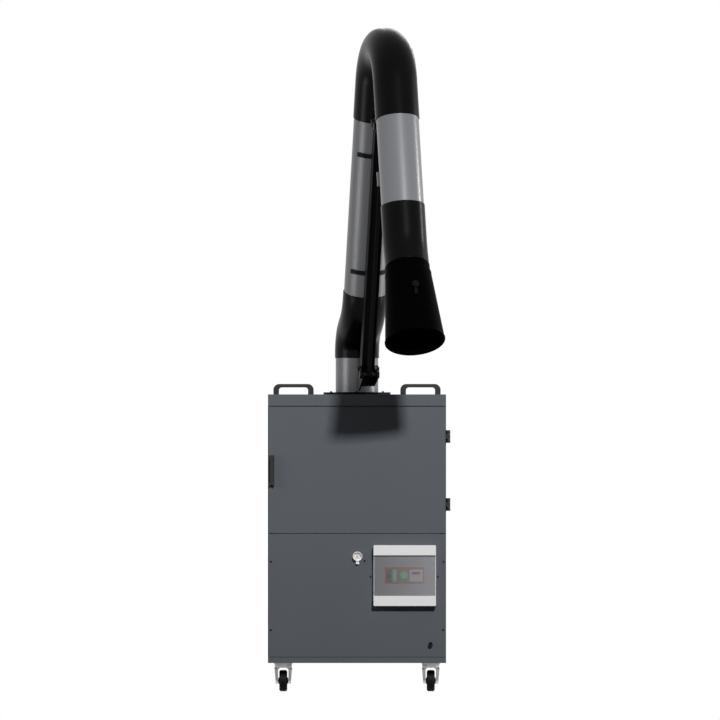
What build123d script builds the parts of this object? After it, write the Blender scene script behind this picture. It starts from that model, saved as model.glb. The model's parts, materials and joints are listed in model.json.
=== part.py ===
from build123d import *
import os
from math import cos, hypot, pi, radians, sin, tan

# A mobile welding fume extractor: a steel cabinet on four castors, with a
# hinged filter door, a fan inside, and a jointed hose arm that ends in a hood.
# X runs to the right, -Y towards the viewer and Z up. The origin lies on the
# floor, on the arm's swivel axis. Sizes are in millimetres.

os.makedirs("parts", exist_ok=True)

# Cabinet
cabinet_width = 668.0
cabinet_depth = 640.0
floor_to_tray = 106.0
tray_height = 21.5
lower_bay_height = 464.0
upper_bay_height = 479.0
lid_height = 43.0
sheet = 2.0
door_depth = 20.0
door_side_gap = 3.0
seam = 3.0
shell_return = 24.0
overrun = 5.0

tray_top = floor_to_tray + tray_height
shelf_level = tray_top + lower_bay_height
lid_bottom = shelf_level + upper_bay_height
deck = lid_bottom + lid_height
half_width = cabinet_width / 2
half_depth = cabinet_depth / 2
front = -half_depth
shell_front = front + door_depth + sheet

# Filter bay
rail_width = 30.0
rail_sheet = 3.0
cassette_height = 292.0
cassette_floor = 34.0
cassette_side_gap = 8.0
cassette_front_gap = 16.0
trap_height = 48.0
trap_rise = 24.0
slat_count = 9
pleat_count = 12
pleat_depth = 210.0
pleat_drop = 27.0
pleat_margin = 20.0
frame_sheet = 3.0

# Fan
fan_inlet_radius = 115.0
impeller_radius = 140.0
impeller_height = 92.0
impeller_blades = 12
hub_height = 46.0
blade_inner_radius = 87.0
spoke_reach = 98.0
spoke_height = 28.0
blade_sheet = 3.0
scroll_height = 120.0
scroll_sheet = 2.5
scroll_start_radius = 165.0
scroll_growth = 70.0
scroll_angles = (53.0, 85.0, 120.0, 175.0, 230.0, 295.0, 360.0)
scroll_y = 20.0
fan_gap = 6.0
motor_radius = 88.0
motor_length = 190.0
motor_shaft_radius = 14.0
motor_fins = 16
motor_cap = 28.0
motor_foot_x = 62.0
motor_foot_y = 53.0
fin_height = 9.0
fin_width = 4.0
running_gap = 0.05
louvre_count = 6
louvre_tilt = 35.0
grille_x = 170.0
grille_width = 126.0
grille_height = 112.0
grille_level = 529.5
grille_rim = 20.0
louvre_sheet = 2.0

# Castors
wheel_radius = 40.0
wheel_width = 30.0
tread_round = 5.0
castor_x = 276.5
castor_y = 255.0
castor_trail = 28.0
plate_width = 68.0
plate_length = 96.0
plate_thickness = 4.0
plate_hole_radius = 4.5
plate_hole_x = 48.0
plate_hole_y = 76.0
race_radius = 32.0
race_height = 9.0
kingpin_radius = 6.0
fork_sheet = 4.0
fork_leg_gap = 4.5
fork_crown_half = 33.5
fork_foot_half = 29.0
fork_foot_length = 14.0
fork_flange = 3.0
fork_arch_round = 12.0
fork_shoulder_round = 5.0
axle_radius = 5.0
axle_head_radius = 8.0
axle_head_height = 5.0
hub_radius = 12.0
hub_reach = 3.5
hub_recess = 4.0
wheel_rim_radius = 28.0

# Door, hinges and latch
hinge_length = 48.0
hinge_knuckle_radius = 8.0
hinge_pin_radius = 3.0
hinge_leaf = 4.0
hinge_leaf_reach = 26.0
hinge_slack = 0.3
hinge_low_rise = 109.0
hinge_high_drop = 115.0
seal_width = 14.0
seal_inset = 10.0
seal_gap = 0.3
latch_width = 21.0
latch_length = 116.0
latch_bottom = 769.0
latch_plate = 3.0
latch_block = 16.0
latch_block_height = 15.0
lever_width = 12.0
lever_slack = 0.4
lever_pin_radius = 2.5
lever_pin_rise = 8.0
lever_nose = 5.6
bolt_length = 62.0
bolt_height = 14.0
bolt_depth = 7.0
bolt_engage = 10.0
bolt_gap = 1.0
guide_offset = 37.0

# Handles on the lid
handle_inset = 96.0
handle_y = -268.0
handle_span = 151.0
handle_height = 39.0
handle_leg = 21.0
handle_bar = 13.0
handle_depth = 24.0
handle_outer_round = 22.0
handle_inner_round = 11.0

# Control box
box_inset = 155.0
box_level = 434.0
box_width = 234.0
box_height = 228.0
box_depth = 34.0
box_wall = 3.0
band_height = 38.0
band_depth = 12.0
box_round = 4.0
fascia_sheet = 2.5
window_x = -0.4
window_width = 148.0
window_height = 61.0
flap_sheet = 3.0
flap_gap = 0.5
flap_pin_radius = 3.0
device_rise = 6.0
breaker_width = 20.0
breaker_x = -58.0
lamp_width = 15.0
lamp_x = -38.0
button_radius = 14.0
button_x = -2.2
button_travel = 4.0
button_ring = 3.0
counter_width = 51.0
counter_x = 42.8
device_height = 45.0
toggle_width = 10.0
toggle_radius = 5.0
toggle_reach = 2.5
toggle_half_height = 2.6
toggle_lean = 20.0

# Gauge and cable gland
gauge_lead = 60.0
gauge_level = 506.0
gauge_radius = 17.5
gauge_depth = 16.0
gauge_wall = 2.0
gauge_stem_width = 12.0
gauge_stem_drop = 29.0
gauge_stem_depth = 11.0
gauge_glass = 1.5
dial_height = 5.0
pointer_length = 11.0
pointer_width = 1.6
pointer_hub = 2.6
pointer_sheet = 1.0
pointer_rest = -135.0
pointer_rise = 4.0
gland_inset = 20.0
gland_level = 177.0
gland_radius = 9.5
gland_bore = 4.5
gland_nut_depth = 5.0
gland_cap_depth = 14.0
gland_tail = 12.0
gland_tail_radius = 7.8

# Screws of the lower panel: four near its corners, two beside the control box
# and one above it, to its left
screw_radius = 3.5
screw_head = 2.2
screw_inset = 11.0
screw_top_inset = 9.0
screw_low_rise = 102.5
screw_left_drop = 105.5
screw_right_drop = 106.5
box_screw_left = 11.4
box_screw_right = 7.4
box_screw_drop = 3.9
spare_screw_lead = 33.5
spare_screw_drop = 102.0

# Arm, in its own upright plane: reach is measured forwards from the swivel
# axis and height from the floor.
arm_yaw = 11.3
duct_radius = 80.0
duct_wall = 2.0
duct_top_rise = 153.5
base_hose_foot = 136.5
flange_radius = 126.0
flange_thickness = 8.0
flange_bolts = 6
flange_bolt_circle = 112.0
flange_bolt_radius = 4.0
spigot_height = 40.0
spigot_wall = 3.0
lower_lean = 16.4
lower_tube_length = 681.0
lower_tube_reach = 158.0
lower_tube_rise = 384.0
upper_lean = 17.2
upper_tube_length = 341.0
upper_tube_reach = 775.0
upper_tube_rise = 1031.0
hood_lean = 28.1
hose_wall = 2.7
tube_in_hose = 20.0
hose_over_neck = 30.0
hose_slack = 0.3
base_hose_rise = 80.5
base_hose_lead = 85.0
base_hose_radii = (115.0, 180.0)
top_hose_run = 140.2447
hood_hose_radius = 400.0
hood_hose_end = 50.0
hood_corner_drop = 163.0

# Linkage of the arm
beam_offset = 112.0
beam_width = 50.0
beam_depth = 40.0
beam_sheet = 3.0
beam_slack = 0.5
cheek = 5.0
pivot_radius = 8.0
pivot_boss = 14.0
pivot_head = 15.0
pivot_head_height = 7.0
knob_lobes = 5
knob_radius = 17.0
knob_height = 14.0
knob_lobe_radius = 6.0
lower_pivot_rise = 87.0
elbow_rise = 1017.0
tie_offset = 45.0
tie_radius = 7.0
tie_eye_radius = 13.0
tie_eye_half_width = 10.0
tie_clearance = 0.5
hood_pivot_drop = 500.0
lower_saddle_shares = (0.14, 0.81)
lower_saddle_height = 16.0
lower_saddle_angle = 56.0
upper_saddle_share = 0.65
upper_saddle_height = 55.0
upper_saddle_angle = 62.0
upper_saddle_ear = 14.0
bracket_rise = 22.0
bracket_left_rise = 5.5
bracket_back_gap = 8.0
bracket_web = 8.0
bracket_web_reach = 146.0
bracket_spine_half = 12.0
saddle_sheet = 4.0
saddle_gap = 0.1
saddle_block = 30.0

# Hood, by distance from the corner of the hood hose's line
hood_mouth_radius = 112.5
hood_sheet = 3.0
hood_rim_radius = 4.0
hood_start = 110.0
hood_shoulder = 118.0
hood_flare_start = 126.0
hood_end = 394.6
neck_end = 122.0
neck_wall = 3.0
neck_slack = 0.3
neck_lip = 4.5
ring_start = 82.0
ring_wall = 4.0
grip_level = 95.0
grip_offset = 104.0
grip_radius = 12.0
grip_half_height = 11.0
damper_level = 212.0
damper_radius = 86.0
damper_sheet = 2.0
spindle_radius = 4.0
spindle_reach = 100.0
damper_knob_radius = 13.0
damper_knob_height = 16.0
damper_lever = 38.0
damper_lever_width = 10.0


def box(x0, x1, y0, y1, z0, z1):
    """A block between two corners."""
    middle = ((x0 + x1) / 2, (y0 + y1) / 2, (z0 + z1) / 2)
    return Pos(*middle) * Box(x1 - x0, y1 - y0, z1 - z0)


def drum(centre, direction, radius, length):
    """A cylinder that starts at centre and runs along direction."""
    plane = Plane(origin=centre, z_dir=direction)
    return plane * Pos(0, 0, length / 2) * Cylinder(radius, length)


def pipe(centre, direction, outer, inner, length):
    """A tube that starts at centre and runs along direction."""
    plane = Plane(origin=centre, z_dir=direction)
    tube = Cylinder(outer, length) - Cylinder(inner, length + overrun)
    return plane * Pos(0, 0, length / 2) * tube


def save(name, *shapes):
    """Writes one named piece, or a group of like pieces, to its own file."""
    solids = [s for shape in shapes for s in shape.solids()]
    whole = solids[0] if len(solids) == 1 else Compound(children=solids)
    export_step(whole, f"parts/{name}.step")


def mirrored(shape):
    """The shape and its mirror image across the cabinet's middle plane."""
    return [shape, mirror(shape, about=Plane.YZ)]


# Cabinet: base tray, folded shell, shelf and lid

def open_pan(z0, z1, opening_up):
    """A shallow folded pan as wide and deep as the cabinet."""
    outer = box(-half_width, half_width, front, half_depth, z0, z1)
    low = z0 + sheet if opening_up else z0 - overrun
    high = z1 + overrun if opening_up else z1 - sheet
    inner = box(
        -half_width + sheet, half_width - sheet,
        front + sheet, half_depth - sheet, low, high,
    )
    return outer - inner


base_tray = open_pan(floor_to_tray, tray_top, True)
lid = open_pan(lid_bottom, deck, False)
duct_inner = duct_radius - duct_wall
lid -= drum((0, 0, lid_bottom), (0, 0, 1), duct_inner - spigot_wall, 2 * lid_height)

shell_outer = box(-half_width, half_width, shell_front, half_depth, tray_top, lid_bottom)
shell_inner = box(
    -half_width + sheet, half_width - sheet,
    shell_front + sheet, half_depth - sheet,
    tray_top - overrun, lid_bottom + overrun,
)
shell_mouth = box(
    -half_width + shell_return, half_width - shell_return,
    shell_front - overrun, shell_front + 2 * sheet,
    tray_top - overrun, lid_bottom + overrun,
)
shell = shell_outer - shell_inner - shell_mouth
grille_hole = box(
    grille_x - grille_width / 2, grille_x + grille_width / 2,
    half_depth - 2 * sheet, half_depth + overrun,
    grille_level - grille_height / 2, grille_level + grille_height / 2,
)
shell -= grille_hole
rail_back = half_depth - sheet
cassette_level = shelf_level + cassette_floor
trap_level = cassette_level + cassette_height + trap_rise + rail_sheet
for level in (cassette_level, trap_level):
    ledge = box(
        half_width - sheet - rail_width, half_width - sheet,
        shell_front + sheet, rail_back, level - rail_sheet, level,
    )
    for rail in mirrored(ledge):
        shell += rail
save("cabinet_shell", shell)
save("base_tray", base_tray)
save("lid", lid)

shelf = box(
    -half_width + sheet, half_width - sheet, shell_front + sheet, half_depth - sheet,
    shelf_level - sheet, shelf_level,
)
shelf -= drum((0, scroll_y, shelf_level - 2 * sheet), (0, 0, 1), fan_inlet_radius, 3 * sheet)
save("fan_shelf", shelf)


def panel(z0, z1, depth):
    """A folded front panel with its open side to the back."""
    reach = half_width - door_side_gap
    outer = box(-reach, reach, front, front + depth, z0, z1)
    inner = box(
        -reach + sheet, reach - sheet, front + sheet, front + depth + overrun,
        z0 + sheet, z1 - sheet,
    )
    return outer - inner


# Spark trap and filter cassette, each on its pair of rails

filter_reach = half_width - sheet - cassette_side_gap
filter_front = shell_front + sheet + cassette_front_gap
filter_back = half_depth - sheet - cassette_side_gap


def filter_frame(z0, height):
    """A folded sheet frame, open above and below, with a flange along its foot."""
    outer = box(-filter_reach, filter_reach, filter_front, filter_back, z0, z0 + height)
    hole = box(
        -filter_reach + frame_sheet, filter_reach - frame_sheet,
        filter_front + frame_sheet, filter_back - frame_sheet,
        z0 + frame_sheet, z0 + height + overrun,
    )
    mouth = box(
        -filter_reach + rail_width, filter_reach - rail_width,
        filter_front + rail_width, filter_back - rail_width,
        z0 - overrun, z0 + height + overrun,
    )
    return outer - hole - mouth


trap = filter_frame(trap_level, trap_height)
slat_pitch = (filter_back - filter_front - 2 * rail_width) / slat_count
for row in range(slat_count):
    y = filter_front + rail_width + slat_pitch * (row + 0.5)
    trap += box(
        -filter_reach + sheet, filter_reach - sheet, y - slat_pitch / 4, y + slat_pitch / 4,
        trap_level + trap_height / 2 - frame_sheet, trap_level + trap_height / 2,
    )
save("spark_trap", trap)

cassette = filter_frame(cassette_level, cassette_height)
pleat_pitch = 2 * (filter_reach - sheet) / pleat_count
upper_fold = []
for number in range(2 * pleat_count + 1):
    drop = pleat_margin if number % 2 == 0 else pleat_margin + pleat_depth
    upper_fold.append((
        -filter_reach + sheet + number * pleat_pitch / 2, cassette_level + cassette_height - drop
    ))
lower_fold = [(x, z - pleat_drop) for x, z in reversed(upper_fold)]
medium = extrude(
    Plane.XZ * make_face(Polyline(*upper_fold, *lower_fold, close=True)),
    filter_back - filter_front - 2 * sheet,
)
cassette += Pos(0, filter_back - sheet, 0) * medium
save("filter_cassette", cassette)

# Fan: scroll under the shelf, motor under the scroll, impeller inside

scroll_top = shelf_level - sheet
scroll_bottom = scroll_top - scroll_height


def spiral(angle, grow):
    """A point of the scroll's spiral wall at an angle about the fan's axis."""
    radius = scroll_start_radius + scroll_growth * angle / 360 + grow
    return (radius * cos(radians(angle)), radius * sin(radians(angle)))


def scroll_outline(grow):
    """The snail outline in three arcs, with a straight outlet to the back."""
    tongue = spiral(scroll_angles[0], 0)
    start = (tongue[0] - grow, tongue[1] + 2 * grow)
    spots = [start] + [spiral(angle, grow) for angle in scroll_angles[1:]]
    end_y = half_depth - sheet - scroll_y
    edges = [Line((start[0], end_y), start)]
    for first in (0, 2, 4):
        edges.append(ThreePointArc(*spots[first:first + 3]))
    edges.append(Line(spots[-1], (spots[-1][0], end_y)))
    edges.append(Line((spots[-1][0], end_y), (start[0], end_y)))
    return make_face(Wire(edges))


scroll = Pos(0, scroll_y, scroll_bottom) * extrude(scroll_outline(scroll_sheet), scroll_height)
cavity = Pos(0, scroll_y, scroll_bottom + scroll_sheet) * extrude(
    scroll_outline(0), scroll_height - 2 * scroll_sheet
)
scroll -= cavity
scroll -= drum((0, scroll_y, scroll_top - 2 * scroll_sheet), (0, 0, 1), fan_inlet_radius, 3 * scroll_sheet)
scroll -= drum(
    (0, scroll_y, scroll_bottom - scroll_sheet), (0, 0, 1), motor_shaft_radius + fan_gap, 3 * scroll_sheet
)
save("fan_scroll", scroll)

motor_top = scroll_bottom
motor = drum((0, scroll_y, motor_top - motor_length), (0, 0, 1), motor_radius, motor_length)
for number in range(motor_fins):
    angle = 360 * number / motor_fins
    fin = box(
        motor_radius - fin_height / 2, motor_radius + fin_height, -fin_width / 2, fin_width / 2,
        motor_top - motor_length + motor_cap, motor_top - motor_cap,
    )
    motor += Pos(0, scroll_y, 0) * Rot(0, 0, angle) * fin
motor += drum(
    (0, scroll_y, motor_top), (0, 0, 1), motor_shaft_radius, scroll_sheet + fan_gap + hub_height
)
pedestal_top = motor_top - motor_length
motor += box(
    -motor_radius, motor_radius, scroll_y - motor_radius, scroll_y + motor_radius,
    floor_to_tray + sheet, floor_to_tray + 3 * sheet,
)
for side in (-1, 1):
    x = side * motor_foot_x
    motor += box(
        x - frame_sheet, x + frame_sheet, scroll_y - motor_foot_y, scroll_y + motor_foot_y,
        floor_to_tray + sheet, pedestal_top + overrun,
    )
save("fan_motor", motor)

impeller_bottom = scroll_bottom + scroll_sheet + fan_gap
hub_outer = motor_shaft_radius * 2
impeller = drum((0, scroll_y, impeller_bottom), (0, 0, 1), impeller_radius, blade_sheet)
impeller += drum((0, scroll_y, impeller_bottom), (0, 0, 1), hub_outer, hub_height)
impeller += pipe(
    (0, scroll_y, impeller_bottom + impeller_height - blade_sheet), (0, 0, 1),
    impeller_radius, fan_inlet_radius, blade_sheet,
)
for number in range(impeller_blades):
    blade = box(
        hub_outer - overrun, impeller_radius - blade_sheet, -blade_sheet / 2, blade_sheet / 2,
        impeller_bottom, impeller_bottom + impeller_height - blade_sheet / 2,
    )
    blade -= drum((0, 0, impeller_bottom + blade_sheet), (0, 0, 1), blade_inner_radius, impeller_height)
    blade += box(
        hub_outer - overrun, spoke_reach, -blade_sheet / 2, blade_sheet / 2,
        impeller_bottom, impeller_bottom + spoke_height,
    )
    impeller += Pos(0, scroll_y, 0) * Rot(0, 0, 360 * number / impeller_blades) * blade
impeller -= drum(
    (0, scroll_y, impeller_bottom - overrun), (0, 0, 1),
    motor_shaft_radius + running_gap, hub_height + overrun + blade_sheet,
)
save("fan_impeller", impeller)

grille = box(
    grille_x - grille_width / 2 - grille_rim, grille_x + grille_width / 2 + grille_rim,
    half_depth, half_depth + louvre_sheet,
    grille_level - grille_height / 2 - grille_rim, grille_level + grille_height / 2 + grille_rim,
)
grille -= grille_hole
louvre_pitch = grille_height / louvre_count
for number in range(louvre_count):
    z = grille_level - grille_height / 2 + louvre_pitch * (number + 0.5)
    louvre = Rot(louvre_tilt, 0, 0) * Box(grille_width, louvre_sheet, louvre_pitch)
    grille += Pos(grille_x, half_depth + louvre_sheet / 2, z) * louvre
save("outlet_grille", grille)

# Filter door, its seal, hinges and latch

door_bottom = shelf_level + seam / 2
door_top = lid_bottom - seam
door = panel(door_bottom, door_top, door_depth)
hinge_x = half_width + hinge_knuckle_radius
hinge_y = shell_front - sheet / 2
knuckle = hinge_length / 3
hinge_levels = (shelf_level + hinge_low_rise, lid_bottom - hinge_high_drop)


def door_leaf(z):
    """The door's hinge leaf: its middle knuckle and an arm to the door's side."""
    low = z - knuckle / 2 + hinge_slack
    high = z + knuckle / 2 - hinge_slack
    side = half_width - door_side_gap
    leaf = drum((hinge_x, hinge_y, low), (0, 0, 1), hinge_knuckle_radius, high - low)
    leaf += box(side, hinge_x, front + sheet, hinge_y - sheet, low, high)
    leaf += box(
        side, side + door_side_gap, front + sheet, front + door_depth - sheet,
        z - hinge_length / 2, z + hinge_length / 2,
    )
    return leaf - drum(
        (hinge_x, hinge_y, low - overrun), (0, 0, 1), hinge_pin_radius + running_gap, hinge_length
    )


def cabinet_leaf(z):
    """The cabinet's leaf: two outer knuckles on a plate, with the pin through them."""
    leaf = box(
        half_width, half_width + hinge_leaf, hinge_y + hinge_knuckle_radius + hinge_slack,
        hinge_y + hinge_leaf_reach, z - hinge_length / 2, z + hinge_length / 2,
    )
    for low in (z - hinge_length / 2, z + knuckle / 2):
        leaf += drum((hinge_x, hinge_y, low), (0, 0, 1), hinge_knuckle_radius, knuckle)
        leaf += box(
            half_width, hinge_x, hinge_y, hinge_y + hinge_knuckle_radius + sheet, low, low + knuckle
        )
    return leaf + drum(
        (hinge_x, hinge_y, z - hinge_length / 2), (0, 0, 1), hinge_pin_radius, hinge_length
    )


save("hinge_door_leaves", *[door_leaf(z) for z in hinge_levels])
save("hinge_cabinet_leaves", *[cabinet_leaf(z) for z in hinge_levels])

seal_reach = half_width - door_side_gap - sheet - seal_inset
seal_outer = box(
    -seal_reach, seal_reach, front + sheet, shell_front - seal_gap,
    door_bottom + sheet + seal_inset, door_top - sheet - seal_inset,
)
seal_hole = box(
    -seal_reach + seal_width, seal_reach - seal_width, front, half_depth,
    door_bottom + sheet + seal_inset + seal_width, door_top - sheet - seal_inset - seal_width,
)
bolt_level = latch_bottom + latch_length / 2
bolt_left = -half_width + sheet + bolt_gap + bolt_engage
bolt_y = shell_front + sheet + bolt_gap
save("door_seal", seal_outer - seal_hole)

latch_x = -half_width + door_side_gap + latch_width / 2
pin_level = latch_bottom + latch_block / 2
latch = box(
    latch_x - latch_width / 2, latch_x + latch_width / 2, front - latch_plate, front,
    latch_bottom, latch_bottom + latch_length,
)
for low in (latch_bottom, latch_bottom + latch_length - latch_block):
    latch += box(
        latch_x - latch_width / 2, latch_x + latch_width / 2,
        front - latch_plate - latch_block_height, front - latch_plate, low, low + latch_block,
    )
slot_reach = lever_width / 2 + lever_slack
latch -= box(
    latch_x - slot_reach, latch_x + slot_reach, front - latch_plate - latch_block_height - overrun,
    front - latch_plate, latch_bottom - overrun, latch_bottom + latch_length + overrun,
)
pin_y = front - latch_plate - lever_pin_rise
latch += drum((latch_x - latch_width / 2, pin_y, pin_level), (1, 0, 0), lever_pin_radius, latch_width)
guide_x = bolt_left + guide_offset
guide = box(
    guide_x - latch_block, guide_x + latch_block, front + sheet, bolt_y + bolt_depth + 2 * sheet,
    bolt_level - bolt_height, bolt_level + bolt_height,
)
guide -= box(
    guide_x - half_width, guide_x + half_width, bolt_y - lever_slack, bolt_y + bolt_depth + lever_slack,
    bolt_level - bolt_height / 2 - lever_slack, bolt_level + bolt_height / 2 + lever_slack,
)
save("latch_base", latch, guide)

lever_back = front - latch_plate - lever_slack
lever_front = pin_y - lever_nose
lever = box(
    latch_x - lever_width / 2, latch_x + lever_width / 2, lever_front, lever_back,
    pin_level, latch_bottom + latch_length - lever_slack,
)
lever += drum(
    (latch_x - lever_width / 2, pin_y, pin_level), (1, 0, 0),
    pin_level - latch_bottom - lever_slack, lever_width,
)
lever -= box(
    latch_x - lever_width, latch_x + lever_width, lever_back, front, latch_bottom - overrun, bolt_level,
)
lever -= drum(
    (latch_x - lever_width, pin_y, pin_level), (1, 0, 0), lever_pin_radius + running_gap, 2 * lever_width
)
save("latch_lever", lever)
latch_bolt = box(
    bolt_left, bolt_left + bolt_length, bolt_y, bolt_y + bolt_depth,
    bolt_level - bolt_height / 2, bolt_level + bolt_height / 2,
)
save("latch_bolt", latch_bolt)
save("filter_door", door)

# Lower panel with its screws

lower_panel = panel(tray_top + seam / 2, shelf_level - seam / 2, door_depth + sheet)
box_x = half_width - box_inset
box_left = box_x - box_width / 2
box_right = box_x + box_width / 2
screw_spots = (
    (-half_width + screw_inset, tray_top + screw_low_rise),
    (half_width - screw_inset, tray_top + screw_low_rise),
    (-half_width + screw_inset, shelf_level - screw_left_drop),
    (half_width - screw_top_inset, shelf_level - screw_right_drop),
    (box_left - box_screw_left, box_level - box_screw_drop),
    (box_right + box_screw_right, box_level - box_screw_drop),
    (box_left - spare_screw_lead, shelf_level - spare_screw_drop),
)
screws = [drum((x, front, z), (0, -1, 0), screw_radius, screw_head) for x, z in screw_spots]
save("panel_screws", *screws)

# Control box on the lower panel: base, fascia, flap and devices

box_bottom = box_level - box_height / 2
box_top = box_level + box_height / 2
box_front = front - box_depth
inner_bottom = box_bottom + band_height
inner_top = box_top - band_height
control_box = box(box_left, box_right, box_front, front, box_bottom, box_top)
control_box = fillet(control_box.edges().filter_by(Axis.Y), box_round)
control_box -= box(
    box_left + box_wall, box_right - box_wall, box_front + box_wall, front + overrun,
    box_bottom + box_wall, box_top - box_wall,
)
control_box -= box(
    box_left - overrun, box_right + overrun, box_front - overrun, box_front + band_depth,
    inner_bottom, inner_top,
)
for low in (inner_bottom - box_wall, inner_top):
    control_box += box(
        box_left + box_wall, box_right - box_wall, box_front + box_wall, front, low, low + box_wall
    )

fascia_y = box_front + band_depth
fascia = box(
    box_left + box_wall, box_right - box_wall, fascia_y, fascia_y + fascia_sheet,
    inner_bottom, inner_top,
)
window = box(
    box_x + window_x - window_width / 2, box_x + window_x + window_width / 2,
    fascia_y - overrun, fascia_y + 2 * overrun,
    box_level - window_height / 2, box_level + window_height / 2,
)
save("control_fascia", fascia - window)

device_back = fascia_y + 2 * band_depth - box_wall
control_box += box(
    box_left + box_wall, box_right - box_wall, device_back, front,
    box_level - band_depth, box_level + band_depth,
)
save("control_box", control_box)
device_low = box_level - device_height / 2
device_high = box_level + device_height / 2


def device(x, width, rise):
    """A switch module that stands on the rail and looks out of the window."""
    return box(
        box_x + x - width / 2, box_x + x + width / 2, fascia_y - rise, device_back, device_low, device_high
    )


toggle_axis_y = fascia_y
breaker = device(breaker_x, breaker_width, 0)
breaker -= drum(
    (box_x + breaker_x - toggle_width / 2 - lever_slack, toggle_axis_y, box_level), (1, 0, 0),
    toggle_radius + lever_slack, toggle_width + 2 * lever_slack,
)
save("breaker_body", breaker)
toggle = drum(
    (box_x + breaker_x - toggle_width / 2, toggle_axis_y, box_level), (1, 0, 0), toggle_radius, toggle_width
)
stalk = box(
    -toggle_width / 2, toggle_width / 2, -toggle_radius - toggle_reach, 0,
    -toggle_half_height, toggle_half_height,
)
toggle += Pos(box_x + breaker_x, toggle_axis_y, box_level) * Rot(toggle_lean, 0, 0) * stalk
save("breaker_toggle", toggle)
holder = device(button_x, 2 * button_radius + 2 * button_ring, 0)
button_well = drum(
    (box_x + button_x, fascia_y - overrun, box_level), (0, 1, 0),
    button_radius + lever_slack, overrun + button_travel + 2 * device_rise,
)
save(
    "device_modules", device(lamp_x, lamp_width, 0), holder - button_well,
    device(counter_x, counter_width, 0),
)
button = drum(
    (box_x + button_x, fascia_y - device_rise, box_level), (0, 1, 0), button_radius, 2 * device_rise
)
save("start_button", button)

flap_low = inner_bottom + flap_gap
flap_high = inner_top - flap_gap
flap_axis_z = flap_high - flap_pin_radius - flap_sheet
flap_axis_y = box_front + flap_pin_radius
flap = box(
    box_left, box_right, box_front, box_front + flap_sheet,
    flap_low, flap_axis_z,
)
flap += drum((box_left, flap_axis_y, flap_axis_z), (1, 0, 0), flap_pin_radius, box_width)
lip = box(
    box_left, box_right, box_front, box_front + 2 * flap_sheet, flap_low, flap_low + flap_sheet
)
flap += lip
save("smoked_flap", flap)

# Pressure gauge and cable gland on the lower panel

gauge_x = box_left - gauge_lead
gauge = drum((gauge_x, front, gauge_level), (0, -1, 0), gauge_radius, gauge_depth)
gauge += box(
    gauge_x - gauge_stem_width / 2, gauge_x + gauge_stem_width / 2, front - gauge_stem_depth, front,
    gauge_level - gauge_stem_drop, gauge_level,
)
gauge -= drum(
    (gauge_x, front - gauge_wall, gauge_level), (0, -1, 0), gauge_radius - gauge_wall, gauge_depth
)
dial_y = front - gauge_wall
gauge += drum((gauge_x, dial_y, gauge_level), (0, -1, 0), pointer_sheet, dial_height)
save("gauge_case", gauge)
glass_y = front - gauge_depth + gauge_glass
glass_radius = gauge_radius - gauge_wall
save("gauge_glass", drum((gauge_x, glass_y, gauge_level), (0, -1, 0), glass_radius, gauge_glass))
pointer_y = dial_y - pointer_rise
pointer = drum((gauge_x, pointer_y, gauge_level), (0, -1, 0), pointer_hub, 2 * pointer_sheet)
needle = box(
    -pointer_width / 2, pointer_width / 2, pointer_y - pointer_sheet, pointer_y,
    -pointer_hub, pointer_length,
)
pointer += Pos(gauge_x, 0, gauge_level) * Rot(0, pointer_rest, 0) * needle
pointer -= drum(
    (gauge_x, pointer_y + overrun, gauge_level), (0, -1, 0), pointer_sheet + running_gap, gauge_depth
)
save("gauge_pointer", pointer)

gland_x = box_right - gland_inset
gland_tail_back = front + gland_tail
gland = Plane(origin=(gland_x, front, gland_level), z_dir=(0, -1, 0)) * extrude(
    RegularPolygon(gland_radius, 6), gland_nut_depth
)
gland += drum(
    (gland_x, front, gland_level), (0, -1, 0), gland_tail_radius, gland_nut_depth + gland_cap_depth
)
gland = chamfer(gland.edges().group_by(Axis.Y)[0], gland_tail_radius - gland_bore - gauge_wall)
gland += drum((gland_x, front, gland_level), (0, 1, 0), gland_tail_radius, gland_tail)
gland -= drum(
    (gland_x, gland_tail_back + overrun, gland_level), (0, -1, 0), gland_bore,
    gland_tail + gland_cap_depth + gland_nut_depth + 2 * overrun,
)
save("cable_gland", gland)
lower_panel -= drum(
    (gland_x, front - overrun, gland_level), (0, 1, 0), gland_tail_radius, 2 * overrun + sheet
)
save("lower_panel", lower_panel)

# Carrying handles on the lid

def handle(x):
    """A moulded bow handle with a screw in each foot."""
    half = handle_span / 2
    y0 = handle_y - handle_depth / 2
    y1 = handle_y + handle_depth / 2
    bow = box(x - half, x + half, y0, y1, deck, deck + handle_height)
    top = deck + handle_height
    corners = bow.edges().filter_by(Axis.Y).filter_by_position(Axis.Z, top, top)
    bow = fillet(corners, handle_outer_round)
    gap = box(
        x - half + handle_leg, x + half - handle_leg, y0 - overrun, y1 + overrun,
        deck - overrun, top - handle_bar,
    )
    inside = gap.edges().filter_by(Axis.Y).filter_by_position(Axis.Z, top - handle_bar, top - handle_bar)
    gap = fillet(inside, handle_inner_round)
    return bow - gap


handle_x = half_width - handle_inset
save("carry_handles", handle(-handle_x), handle(handle_x))

# Castors: a mounting plate, a fork, an axle and a wheel each

axle_level = wheel_radius
plate_low = floor_to_tray - plate_thickness
race_low = plate_low - race_height
fork_top = race_low - hinge_slack


def castor_plate(x, y):
    """The bolted plate with its ball race, and the kingpin below it."""
    plate = box(
        x - plate_width / 2, x + plate_width / 2, y - plate_length / 2, y + plate_length / 2,
        plate_low, floor_to_tray,
    )
    for side in (-1, 1):
        for end in (-1, 1):
            spot = (x + side * plate_hole_x / 2, y + end * plate_hole_y / 2, plate_low - overrun)
            plate -= drum(spot, (0, 0, 1), plate_hole_radius, 3 * overrun)
    plate += drum((x, y, race_low), (0, 0, 1), race_radius, race_height)
    return plate + drum(
        (x, y, fork_top - fork_sheet - hinge_slack), (0, 0, 1), kingpin_radius,
        fork_sheet + hinge_slack + race_height,
    )


fork_inner = wheel_width / 2 + fork_leg_gap
fork_outer = fork_inner + fork_sheet


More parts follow.
